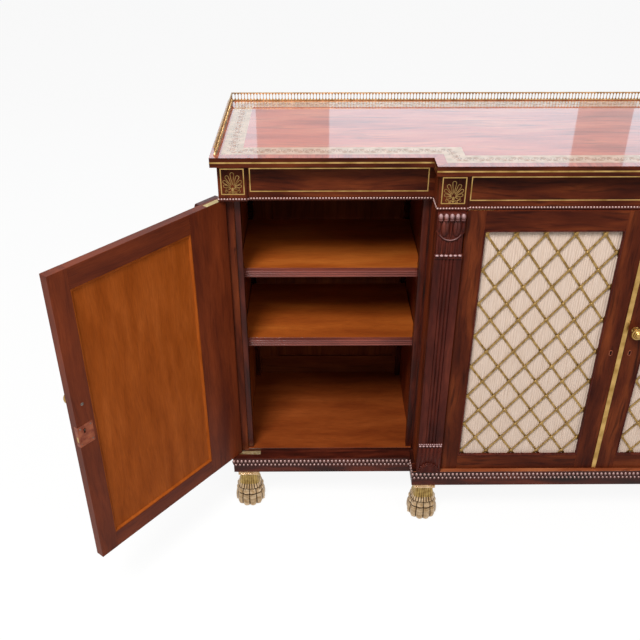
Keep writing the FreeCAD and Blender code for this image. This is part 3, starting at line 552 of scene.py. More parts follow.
# Leaves let into the brass band of the top, faded to brown.
FADED_INLAY = Wood("rosewood_inlay_faded", "#8C5A44", "#A0705A", "#B08068", "#7A4A38", 0.4,
                   0.35, 1.0, 0.03, shine=0.05, figure_mm=8.0, streak_mm=3.0)
# Keyholes and screw slots: near black, painted shade in place of the openings.
KEYHOLE_BLACK = Wood("keyhole_painted_shade", "#060303", "#090505", "#0C0706", "#040202", 0.5,
                     0.9, 0.0, 0.5, shine=0.1)
# Each metal: bright and dull tone, grime, roughness, and the size of its patches.
# Brass sheet and turned brass, lacquered and gone soft with age.
BRASS = Metal("brass_lacquered_aged", "#C9A363", "#A27E44", "#5A3D1C", 0.3, 26.0)
# Brass lines and bands let into the veneer, under its polish.
INLAID_BRASS = Metal("brass_sheet_inlaid", "#D2AA90", "#BA957A", "#967056", 0.4, 16.0, polish=0.6)
# Brass wire and rod of the grille, never polished: olive brown.
GRILLE_BRASS = Metal("brass_wire_unpolished", "#AE8D56", "#846638", "#4A361C", 0.38, 9.0)
# Brass of the gallery, dark from the damp cloth that never reaches between the pales.
GALLERY_BRASS = Metal("brass_gallery_tarnished", "#BC9A6C", "#96784A", "#4E381C", 0.38, 14.0,
                      clean_from=0.2)
# Brass cast and fire-gilt: paler and warmer, burnished on its high places.
GILT = Metal("brass_cast_gilt", "#E2C49E", "#BA976C", "#2A1808", 0.26, 9.0, relief=0.25,
             relief_mm=2.5, clean_from=0.535)
# The same where it is never rubbed: greener, with the casting skin left on.
GILT_NECK = Metal("brass_cast_gilt_unrubbed", "#B4965A", "#907240", "#33200E", 0.36, 9.0,
                  relief=0.25, clean_from=0.5)
# Brass plates of the pivots, brighter than the other brass; the pale tone is painted brightness
# against the shade they lie in.
PLATE_BRASS = Metal("brass_plate_painted_bright", "#F2E2B4", "#D2B97F", "#6A5028", 0.55, 6.0, relief=0.3)
# Lock brass gone to copper brown inside the stile.
LOCK_BRASS = Metal("brass_lock_case_browned", "#9C5A40", "#7C4030", "#331610", 0.42, 14.0,
                   relief=0.3)
# Steel of screws and key pins.
STEEL = Metal("steel_dull", "#8D857C", "#6A625A", "#3A342E", 0.4, 4.0)
SILK = PleatedSilk()


# ---- the bench: work on one piece at a time ------------------------------------------------------
class Bench:
    """Holds one piece at a time, alone selected and active, and works on it."""

    @staticmethod
    def clear() -> None:
        """Put everything down."""
        if bpy.context.object and bpy.context.object.mode != "OBJECT":
            bpy.ops.object.mode_set(mode="OBJECT")
        bpy.ops.object.select_all(action="DESELECT")

    @classmethod
    def take(cls, *pieces: Object) -> None:
        """Select these pieces alone, the first of them active."""
        cls.clear()
        for piece in pieces:
            piece.select_set(True)
        bpy.context.view_layer.objects.active = pieces[0]

    @classmethod
    @contextmanager
    def editing(cls, piece: Object, everything: bool = True) -> Iterator[None]:
        """Work on the mesh of a piece, with all of it selected if everything is asked for."""
        cls.take(piece)
        bpy.ops.object.mode_set(mode="EDIT")
        if everything:
            bpy.ops.mesh.select_all(action="SELECT")
        yield
        bpy.ops.object.mode_set(mode="OBJECT")

    @classmethod
    def named(cls, name: str) -> Object:
        """Name the piece that was just added and return it."""
        piece = bpy.context.object
        piece.name = name
        piece.data.name = name
        return piece

    @classmethod
    def settle(cls, piece: Object, scale: Iterable[float] = (1.0, 1.0, 1.0)) -> Object:
        """Scale a piece, and move its place and scale into its mesh."""
        piece.scale = scale
        cls.take(piece)
        bpy.ops.object.transform_apply(location=True, rotation=True, scale=True)
        return piece

    @classmethod
    def carry(cls, piece: Object, *matrices: Matrix) -> Object:
        """Carry a piece's mesh through matrices in turn, with its faces kept outwards."""
        for matrix in matrices:
            piece.data.transform(matrix)
            if matrix.determinant() < 0.0:
                piece.data.flip_normals()
            piece.data.update()
        return piece

    @classmethod
    def copy(cls, piece: Object, name: str) -> Object:
        """Copy of a piece with a mesh of its own."""
        twin = piece.copy()
        twin.data = piece.data.copy()
        twin.name = name
        twin.data.name = name
        bpy.context.scene.collection.objects.link(twin)
        return twin

    @classmethod
    def join(cls, name: str, pieces: list[Object]) -> Object:
        """Several pieces as one, under a new name."""
        cls.take(*pieces)
        if len(pieces) > 1:
            bpy.ops.object.join()
        return cls.named(name)

    @classmethod
    def scatter(cls, name: str, master: Object, places: list[Matrix]) -> Object:
        """One piece made of copies of a master, which is then put away.

        Args:
            name: name of the piece.
            master: the form that repeats.
            places: matrix of each copy.

        Returns:
            The piece.
        """
        copies = [cls.carry(cls.copy(master, name), place) for place in places]
        mesh = master.data
        bpy.data.objects.remove(master)
        bpy.data.meshes.remove(mesh)
        return cls.join(name, copies)

    @classmethod
    def solid(cls, name: str, points: list[Vector], faces: list[tuple[int, ...]]) -> Object:
        """Piece from the points and the faces of one of the model's solids."""
        mesh = bpy.data.meshes.new(name)
        mesh.from_pydata(points, [], faces)
        piece = bpy.data.objects.new(name, mesh)
        bpy.context.scene.collection.objects.link(piece)
        return piece

    @classmethod
    def block(cls, name: str, low: Point, high: Point, ease: float = 0.0,
              segments: int = 2) -> Object:
        """Cube drawn out between two corners.

        Args:
            name: name of the piece.
            low: lowest corner.
            high: highest corner.
            ease: width of its eased edges, or 0 for sharp ones.
            segments: facets of each eased edge.

        Returns:
            The piece, with its place in its mesh.
        """
        cls.clear()
        middle = [(a + b) / 2.0 for a, b in zip(low, high)]
        bpy.ops.mesh.primitive_cube_add(size=1.0, location=middle)
        piece = cls.settle(cls.named(name), [b - a for a, b in zip(low, high)])
        if ease:
            cls.modify(piece, "BEVEL", width=ease, segments=segments)
        return piece

    @classmethod
    def ball(cls, name: str, half: Point, place: Point = (0.0, 0.0, 0.0), segments: int = 8,
             rings: int = 6) -> Object:
        """Ball pressed to its half sizes.

        Args:
            name: name of the piece.
            half: half its width, depth and height.
            place: its middle.
            segments: faces around.
            rings: faces from pole to pole.

        Returns:
            The piece.
        """
        cls.clear()
        bpy.ops.mesh.primitive_uv_sphere_add(segments=segments, ring_count=rings, radius=1.0,
                                             location=place)
        return cls.settle(cls.named(name), half)

    @classmethod
    def disc(cls, name: str, sides: int, radius: float = 1.0, height: float = 0.0) -> Object:
        """Flat disc with a number of sides, at a height."""
        cls.clear()
        bpy.ops.mesh.primitive_circle_add(vertices=sides, radius=radius, fill_type="NGON",
                                          location=(0.0, 0.0, height))
        return cls.settle(cls.named(name))

    @classmethod
    def grow(cls, piece: Object, steps: Iterable[Point]) -> Object:
        """Extrude a flat piece upwards in steps.

        Args:
            piece: the flat piece.
            steps: rise of each step, and the shares by which its end is resized in X and Y.

        Returns:
            The piece, with its faces outwards.
        """
        with cls.editing(piece):
            for rise, share_x, share_y in steps:
                bpy.ops.mesh.extrude_region_move(
                    TRANSFORM_OT_translate={"value": (0.0, 0.0, rise)})
                bpy.ops.transform.resize(value=(share_x, share_y, 1.0),
                                         center_override=(0.0, 0.0, 0.0))
        return cls.outwards(piece)

    @classmethod
    def turned(cls, name: str, rings: tuple[Flat, ...], sides: int) -> Object:
        """Lathe work: a disc extruded and resized from ring to ring along Z.

        Args:
            name: name of the piece.
            rings: radius and height of each ring.
            sides: number of sides of each ring.

        Returns:
            The piece, closed at both ends.
        """
        steps = []
        for (radius, height), (wanted, rise) in zip(rings, rings[1:]):
            steps.append((rise - height, wanted / radius, wanted / radius))
        return cls.grow(cls.disc(name, sides, *rings[0]), steps)

    @classmethod
    def wire(cls, name: str, points: list[Point], radius: float, taper: float = 1.0) -> Object:
        """Round wire bent along a smooth line.

        Args:
            name: name of the piece.
            points: control points of the line.
            radius: radius of the wire at its start.
            taper: share of the radius that is left at its end.

        Returns:
            The wire as a mesh.
        """
        cls.clear()
        bpy.ops.curve.primitive_nurbs_path_add()
        curve = bpy.context.object.data
        curve.splines.clear()
        spline = curve.splines.new("NURBS")
        spline.points.add(len(points) - 1)
        for number, point in enumerate(points):
            spline.points[number].co = (*point, 1.0)
            spline.points[number].radius = 1.0 + (taper - 1.0) * number / (len(points) - 1)
        spline.order_u = 3
        spline.use_endpoint_u = True
        curve.resolution_u = 4
        curve.bevel_depth = radius
        curve.bevel_resolution = 1
        curve.use_fill_caps = True
        bpy.ops.object.convert(target="MESH")
        return cls.named(name)

    @classmethod
    def modify(cls, piece: Object, kind: str, **settings: object) -> None:
        """Add one modifier with its settings and apply it.

        Args:
            piece: the piece to work on.
            kind: the modifier's type.
            settings: its properties.
        """
        cls.take(piece)
        modifier = piece.modifiers.new(kind.lower(), kind)
        for name, value in settings.items():
            setattr(modifier, name, value)
        bpy.ops.object.modifier_apply(modifier=modifier.name)

    @classmethod
    def outwards(cls, piece: Object) -> Object:
        """Turn all faces of a piece outwards."""
        with cls.editing(piece):
            bpy.ops.mesh.normals_make_consistent(inside=False)
        return piece

    @classmethod
    def rounded(cls, piece: Object, angle: float = 40.0) -> Object:
        """Shade a piece smooth, with its edges above an angle kept sharp."""
        cls.take(piece)
        bpy.ops.object.shade_smooth_by_angle(angle=math.radians(angle))
        return piece

    @staticmethod
    def mark(piece: Object, name: str, values: list[float]) -> None:
        """Write one value for each vertex into a new attribute."""
        piece.data.attributes.new(name, "FLOAT", "POINT").data.foreach_set("value", values)

    @classmethod
    def painted_highlight(cls, piece: Object, share: float = 1.0) -> Object:
        """Mark a painted highlight on the faces of a form, drawn facing -Y, that turn up and to the
        front toward the light.
        """
        toward_light = Vector((0.0, -0.5, 0.866))
        vertices = piece.data.vertices
        cls.mark(piece, PAINTED_HIGHLIGHT, [share * max(0.0, v.normal.dot(toward_light)) ** 3 for v in vertices])
        return piece

    @classmethod
    def painted(cls, piece: Object, *finishes: Finish) -> Object:
        """Give a piece its materials in order."""
        piece.data.materials.clear()
        for finish in finishes:
            piece.data.materials.append(material_of(finish))
        return piece


def finish_piece(piece: Object, body: str, slot: Slot, *nodes: str) -> Object:
    """Seat a painted piece on its body and hide the nodes that it stands for.

    Args:
        piece: the piece, in place in the model's frame.
        body: the body that carries it.
        slot: slot of the record that its finish stands for; not used.
        nodes: nodes that it replaces.

    Returns:
        The piece.
    """
    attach(piece, body)
    if nodes:
        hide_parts(*nodes)
    LOG.info("%s on %s: %d faces", piece.name, body, len(piece.data.polygons))
    return piece


# ---- boards: the joiner's work -------------------------------------------------------------------
class Joinery:
    """Remakes board nodes with eased edges and with a grain that runs along each board."""

    ease = 0.4 * MM
    weld = 1.0e-5
    flat_angle = math.radians(1.0)
    edge_angle = math.radians(50.0)
    farthest_shift = 9.0

    @classmethod
    def solids(cls, node: str) -> list[tuple[list[Vector], list[tuple[int, ...]]]]:
        """Separate boards of a node.

        Args:
            node: name of the node, whose mesh is loose triangles.

        Returns:
            Points and triangles of each board.
        """
        mesh = frame["nodes"][node].data
        keys: dict[tuple, int] = {}
        points: list[Vector] = []
        welded = []
        for vertex in mesh.vertices:
            key = tuple(round(c / cls.weld) for c in vertex.co)
            if key not in keys:
                keys[key] = len(points)
                points.append(vertex.co.copy())
            welded.append(keys[key])
        triangles = [tuple(welded[v] for v in polygon.vertices) for polygon in mesh.polygons]
        triangles = [t for t in triangles if len(set(t)) == 3]
        beside: dict[frozenset, list[int]] = {}
        for number, triangle in enumerate(triangles):
            for corner in range(3):
                edge = frozenset((triangle[corner - 1], triangle[corner]))
                beside.setdefault(edge, []).append(number)
        group = list(range(len(triangles)))

        def root(number: int) -> int:
            """First triangle of the group that a triangle is in."""
            while group[number] != number:
                group[number] = group[group[number]]
                number = group[number]
            return number

        for numbers in beside.values():
            if len(numbers) == 2:
                group[root(numbers[0])] = root(numbers[1])
        boards: dict[int, list[tuple[int, ...]]] = {}
        for number, triangle in enumerate(triangles):
            boards.setdefault(root(number), []).append(triangle)
        result = []
        for faces in boards.values():
            used = sorted({v for f in faces for v in f})
            place = {v: i for i, v in enumerate(used)}
            result.append(([points[v] for v in used], [tuple(place[v] for v in f) for f in faces]))
        return result

    @classmethod
    def boards(cls, node: str, finishes: tuple[Finish, ...], grain: Grain = Grain.LONGEST,
               stands_turned: float = 0.0,
               second: Callable[[MeshPolygon], bool] | None = None) -> Object:
        """Copy of a node with eased edges and the grain attribute.

        Args:
            node: name of the node.
            finishes: its finish, and a second one for some of its faces.
            grain: which way the grain of every board runs.
            stands_turned: angle in degrees by which the boards stand turned about Z.
            second: says which faces have the second finish.

        Returns:
            The new piece.
        """
        random.seed(node)
        square = turn(-stands_turned, "Z").to_3x3()
        pieces = []
        for points, faces in cls.solids(node):
            board = Bench.solid(node + "_board", points, faces)
            with Bench.editing(board):
                bpy.ops.mesh.dissolve_limited(angle_limit=cls.flat_angle)
            Bench.modify(board, "BEVEL", width=cls.ease, segments=1, limit_method="ANGLE",
                         angle_limit=cls.edge_angle)
            cls.mark_grain(board, grain, square)
            Bench.painted(board, *finishes)
            if second:
                for polygon in board.data.polygons:
                    polygon.material_index = int(second(polygon))
            pieces.append(board)
        return Bench.join(node + "_dressed", pieces)

    @classmethod
    def mark_grain(cls, board: Object, grain: Grain = Grain.LONGEST,
                   square: Matrix = Matrix.Identity(3)) -> Object:
        """Write the grain coordinates of one board.

        Args:
            board: the board, in metres.
            grain: which way the grain runs.
            square: turn that squares the board to the axes.

        Returns:
            The board.
        """
        places = [square @ vertex.co for vertex in board.data.vertices]
        sizes = spans(places)
        order = sorted(range(3), key=lambda i: -sizes[i])
        if grain is Grain.UPRIGHT:
            order = [2] + [i for i in order if i != 2]
        moved = Vector([random.uniform(0.0, cls.farthest_shift) for _ in range(3)])
        grains = board.data.attributes.new(GRAIN, "FLOAT_VECTOR", "POINT")
        for number, place in enumerate(places):
            grains.data[number].vector = Vector([place[i] for i in order]) + moved
        return board

    @classmethod
    def replace(cls, node: str, body: str, slot: Slot, *how: object) -> None:
        """Dress the boards of a node, as boards() is told how, and put them in its place."""
        finish_piece(cls.boards(node, *how), body, slot, node)


# ---- ornaments that repeat -----------------------------------------------------------------------
@dataclass(frozen=True)
class Run:
    """Straight stretch that ornaments are set along."""

    start: Flat
    end: Flat

    @property
    def facing(self) -> Facing:
        """Which way ornaments on the run face, with the outside of the cabinet on its right."""
        run_x, run_y, _ = spans([(*self.start, 0.0), (*self.end, 0.0)])
        if run_x > run_y:
            return Facing.FRONT
        return Facing.RIGHT if self.end[1] > self.start[1] else Facing.LEFT

    def spots(self, pitch: float, phase: float = 0.0) -> list[Vector]:
        """Evenly spaced spots along the run, without the one at its end.

        Args:
            pitch: wanted spacing, which is adjusted to come out even.
            phase: share of the spacing by which the row starts late.

        Returns:
            The spots, in the plane of the plan.
        """
        start = Vector(self.start)
        span = Vector(self.end) - start
        count = max(1, round(span.length / pitch))
        return [start + span * ((number + phase) / count) for number in range(count)]

    def places(self, pitch: float, z: float, phase: float = 0.0) -> list[Matrix]:
        """Matrices of ornaments, drawn facing -Y at the origin, that are spaced along the run."""
        way = turn(self.facing.value, "Z")
        return [shift(*spot, z) @ way for spot in self.spots(pitch, phase)]


def runs_between(corners: list[Flat]) -> list[Run]:
    """Straight runs from corner to corner."""
    return [Run(start, end) for start, end in zip(corners, corners[1:])]


@dataclass
class Beading:
    """Carved bead rows: one under the frieze and two on the plinth."""

    frieze_pitch: float = 5.9
    frieze_bead: Point = (2.75, 2.95, 2.75)
    frieze_painted_highlight: float = 1.3
    frieze_rise: float = 4.0
    strip_proud: float = 1.2
    strip_height: float = 6.4
    plinth_pitch: float = 9.4
    plinth_rows: Flat = (10.3, 20.2)
    plinth_beads: tuple[Point, Point] = ((3.9, 3.5, 5.6), (3.1, 3.0, 3.8))
    plinth_sunk: float = 0.4

    def row(self, name: str, half: Point, painted_highlight: float, places: list[Matrix]) -> Object:
        """Row of round beads.

        Args:
            name: name of the row.
            half: half sizes of a bead.
            painted_highlight: strength of the painted highlight on the beads.
            places: matrix of each bead.

        Returns:
            The row.
        """
        # Painted highlight on the upper front of each bead.
        bead = Bench.painted_highlight(Bench.ball("bead", half), painted_highlight)
        return Bench.rounded(Bench.scatter(name, bead, places), 80.0)

    def strip(self, run: Run, z: float) -> Object:
        """Thin strip behind the frieze's beads, along one run at a height."""
        reach, half = self.strip_proud, self.strip_height / 2.0
        (x0, x1), (y0, y1) = (sorted(pair) for pair in zip(run.start, run.end))
        behind = 0.0 if run.facing is Facing.FRONT else reach
        return Bench.block("strip", (x0 - reach, y0 - reach, z - half),
                           (x1 + reach, y1 + behind, z + half))

    def frieze_row(self) -> Object:
        """Row under the frieze: beads on a thin strip, around the tablets and the boards."""
        side, shoulder, tablet = PLAN.half_width, PLAN.break_half_width, PLAN.tablet_width
        set_back, centre = PLAN.tablet_proud, -PLAN.break_depth
        corners = both_halves([
            (-side, PLAN.depth), (-side, 0.0), (-side + tablet, 0.0), (-side + tablet, set_back),
            (-shoulder, set_back), (-shoulder, centre), (-shoulder + tablet, centre),
            (-shoulder + tablet, centre + set_back)])
        z = PLAN.frieze_bottom + self.frieze_rise
        places, strips = [], []
        for run in runs_between(corners):
            places += run.places(self.frieze_pitch, z)
            strips.append(self.strip(run, z))
        beads = self.row("beads", self.frieze_bead, self.frieze_painted_highlight, places)
        return Bench.join("frieze_bead_row", [beads, *strips])

    def plinth_row(self, number: int) -> Object:
        """One of the two rows on the plinth, the lower set half a bead along."""
        proud = PLAN.plinth_proud - self.plinth_sunk
        corners = PLAN.outline(proud, -proud, PLAN.depth - self.plinth_pitch / 2.0)
        z = PLAN.plinth_top - self.plinth_rows[number]
        places = []
        for run in runs_between(corners):
            places += run.places(self.plinth_pitch, z, 0.5 * number)
        return self.row("plinth_bead_row_%d" % (number + 1), self.plinth_beads[number], 1.0, places)

    def build(self) -> None:
        """Make the three rows."""
        rows = [(self.frieze_row(), "frieze_bead")]
        rows += [(self.plinth_row(number), "plinth_bead_rows") for number in range(2)]
        for piece, node in rows:
            Joinery.mark_grain(Bench.carry(piece, PLAN.place()))
            finish_piece(Bench.painted(piece, BEADED_ROSEWOOD), "carcase", Slot.ROSEWOOD, node)


@dataclass
class Gallery:
    """Pierced brass gallery on the back and both ends of the top."""

    inset: float = 10.0
    front_gap: float = 12.0
    height: float = 18.6
    rail: float = 2.4
    foot_width: float = 5.0
    rail_ease: float = 0.7
    pitch: float = 7.1
    bar: float = 1.3
    cusp: float = 2.2
    lip: float = 0.4
    flare_share: float = 0.22

    def pale(self) -> Object:
        """One upright bar, flared into a cusp at its foot and its head."""
        length = self.height - 2.0 * self.rail
        flare = length * self.flare_share
        slim = self.bar / (2.0 * self.cusp)
        Bench.clear()
        bpy.ops.mesh.primitive_plane_add(size=1.0,
                                         location=(0.0, 0.0, PLAN.total_height + self.rail))
        piece = Bench.settle(Bench.named("pale"), (2.0 * self.cusp, self.bar, 1.0))
        steps = ((self.lip, 1.0), (flare, slim), (length - 2.0 * (flare + self.lip), 1.0),
                 (flare, 1.0 / slim), (self.lip, 1.0))
        return Bench.grow(piece, [(rise, share, 1.0) for rise, share in steps])

    def build(self) -> None:
        """Make the rails and the pales."""
        side = PLAN.half_width + PLAN.top_side_overhang - self.inset
        back = PLAN.depth + PLAN.top_back_overhang - self.inset
        front = self.front_gap - PLAN.top_front_overhang
        rails = []
        for z, half in ((PLAN.total_height, self.foot_width / 2.0),
                        (PLAN.total_height + self.height - self.rail, self.rail / 2.0)):
            for x0, x1, y0 in ((-side - half, -side + half, front),
                               (side - half, side + half, front),
                               (-side + half, side - half, back - half)):
                rails.append(Bench.block("rail", (x0, y0, z), (x1, back + half, z + self.rail),
                                         self.rail_ease))
        bars = Bench.rounded(Bench.carry(Bench.join("gallery_rail_bars", rails), PLAN.place()))
        near = front + 1.0
        # The pales are alike before and behind, so these runs may keep the outside on their left.
        runs = runs_between([(-side, near), (-side, back), (side, back), (side, near)])
        places = [place for run in runs for place in run.places(self.pitch, 0.0)]
        pales = Bench.carry(Bench.scatter("gallery_pales", self.pale(), places), PLAN.place())
        for piece, node in ((bars, "gallery_rails"), (pales, "gallery_spindles")):
            finish_piece(Bench.painted(piece, GALLERY_BRASS), "carcase", Slot.BRASS, node)


# ---- grille doors --------------------------------------------------------------------------------
@dataclass
class Grille:
    """Brass trellis and pleated silk in the opening of each door."""

    lip: float = 3.5
    lip_depth: float = 4.7
    side_margin: float = 3.2
    end_margin: float = 7.5
    columns: int = 9
    rows: int = 14
    bar: float = 4.7
    bar_depth: float = 1.5
    bar_ease: float = 0.55
    boss: float = 9.8
    boss_sunk: float = 0.4
    boss_lobes: tuple[float, ...] = (1.0, 0.9, 0.74, 0.9)
    boss_steps: tuple[Flat, ...] = ((0.7, 1.0), (0.35, 0.86), (0.0, 0.56), (0.55, 0.8), (0.25, 0.5))
    silk_depth: float = 9.0
    pleat: float = 5.0
    pleat_depth: float = 1.0
    gap: float = 0.3
    columns_per_pleat: int = 8
    silk_rows: int = 40

    def lattice(self, door: DoorLeaf) -> tuple[float, float, float, float]:
        """Left end, upper end and steps of the lattice of crossings.

        Args:
            door: the door that the trellis is in.

        Returns:
            X of the first crossing, Z of the top row, and the steps across and down.
        """
        (x0, x1), (z0, z1) = door.field_x, door.field_z
        side, end = self.lip + self.side_margin, self.lip + self.end_margin
        return (x0 + side, z1 - end, (x1 - x0 - 2.0 * side) / self.columns,
                (z1 - z0 - 2.0 * end) / self.rows)

    def bars(self, door: DoorLeaf, lean: int) -> Object:
        """One layer of parallel bars with rounded faces, cut to the opening.

        Args:
            door: the door that the bars are in.
            lean: 1 for bars that rise to the right, -1 for bars that fall.

        Returns:
            The layer, on the closed, left-hung shape.
        """
        left, high, step_x, step_z = self.lattice(door)
        (x0, x1), (z0, z1) = door.field_x, door.field_z
        reach = (x1 - x0) + (z1 - z0)
        y = door.front_y + self.lip_depth + (0.0 if lean > 0 else self.bar_depth)
        master = Bench.block("bar", (-reach, 0.0, -self.bar / 2.0),
                             (reach, self.bar_depth, self.bar / 2.0), self.bar_ease)
        start_z = high if lean < 0 else high - self.rows * step_z
        tilt = Matrix.Rotation(-math.atan2(lean * step_z, step_x), 4, "Y")
        places = [shift(left + number * step_x, y, start_z) @ tilt
                  for number in range(-self.rows, self.columns + self.rows + 1, 2)]
        layer = Bench.scatter("trellis_layer", master, places)
        with Bench.editing(layer):
            for spot, normal in (((x0, 0, 0), (-1, 0, 0)), ((x1, 0, 0), (1, 0, 0)),
                                 ((0, 0, z0), (0, 0, -1)), ((0, 0, z1), (0, 0, 1))):
                bpy.ops.mesh.select_all(action="SELECT")
                bpy.ops.mesh.bisect(plane_co=spot, plane_no=normal, clear_outer=True, use_fill=True)
        return layer

    def stamped_boss(self) -> Object:
        """Boss of a crossing: a small four-lobed plate with a round centre, facing -Y."""
        piece = Bench.disc("boss", 4 * len(self.boss_lobes), self.boss / 2.0)
        for number, vertex in enumerate(piece.data.vertices):
            vertex.co *= self.boss_lobes[number % len(self.boss_lobes)]
        Bench.grow(piece, [(rise, share, share) for rise, share in self.boss_steps])
        return Bench.carry(Bench.rounded(piece, 50.0), turn(90.0, "X"))

    def trellis(self, door: DoorLeaf) -> Object:
        """Both layers of bars with a boss on every crossing."""
        left, high, step_x, step_z = self.lattice(door)
        y = door.front_y + self.lip_depth + self.boss_sunk
        places = [shift(left + column * step_x, y, high - row * step_z)
                  for row in range(self.rows + 1)
                  for column in range(row % 2, self.columns + 1, 2)]
        bosses = Bench.scatter("bosses", self.stamped_boss(), places)
        layers = [self.bars(door, 1), self.bars(door, -1)]
        return Bench.carry(Bench.join(door.body + "_grille", [*layers, bosses]), door.place())

    def silk(self, door: DoorLeaf) -> Object:
        """Pleated silk behind the trellis, seated on its door."""
        (x0, x1), (z0, z1) = ((low + self.gap, high - self.gap)
                              for low, high in (door.field_x, door.field_z))
        columns = int((x1 - x0) / self.pleat) * self.columns_per_pleat
        Bench.clear()
        bpy.ops.mesh.primitive_grid_add(x_subdivisions=columns, y_subdivisions=self.silk_rows,
                                        size=1.0)
        piece = Bench.named(door.body + "_pleated_silk")
        random.seed(door.body)
        # Height, pace, start and lean of the waves that make the pleats drift.
        waves = [(random.uniform(0.5, 1.0), random.uniform(0.5, 2.0), random.uniform(0.0, 6.3),
                  random.uniform(-1.6, 1.6)) for _ in range(6)]
        folds = []
        for vertex in piece.data.vertices:
            across, up = vertex.co.x + 0.5, vertex.co.y + 0.5
            x = x0 + across * (x1 - x0)
            drift = sum(a * math.sin(across * 34.0 * f + p + lean * up) for a, f, p, lean in waves)
            phase = 2.0 * math.pi * (x - x0) / self.pleat + 0.8 * drift
            depth = self.pleat_depth * (0.8 + 0.2 * math.sin(across * 23.0 + up * 3.0))
            fold = math.sqrt(abs(math.sin(phase / 2.0)))
            folds.append(fold)
            vertex.co = (x, door.front_y + self.silk_depth + depth * (0.8 - 1.6 * fold),
                         z0 + up * (z1 - z0))
        # The depth in each fold also sets the painted shade of the creases.
        Bench.mark(piece, FOLD, folds)
        layer = piece.data.uv_layers[0]
        layer.name = CLOTH
        for corner in piece.data.loops:
            spot = piece.data.vertices[corner.vertex_index].co
            layer.data[corner.index].uv = (spot.x * MM, spot.z * MM)
        Bench.carry(Bench.rounded(Bench.outwards(piece), 180.0), door.place())
        finish_piece(Bench.painted(piece, SILK), door.body, Slot.SILK, door.body + "_silk")
        return piece

    def build(self, door: DoorLeaf) -> None:
        """Dress the opening of one door."""
        trellis = Bench.painted(self.trellis(door), GRILLE_BRASS)
        finish_piece(trellis, door.body, Slot.BRASS, door.body + "_trellis")
        self.silk(door)


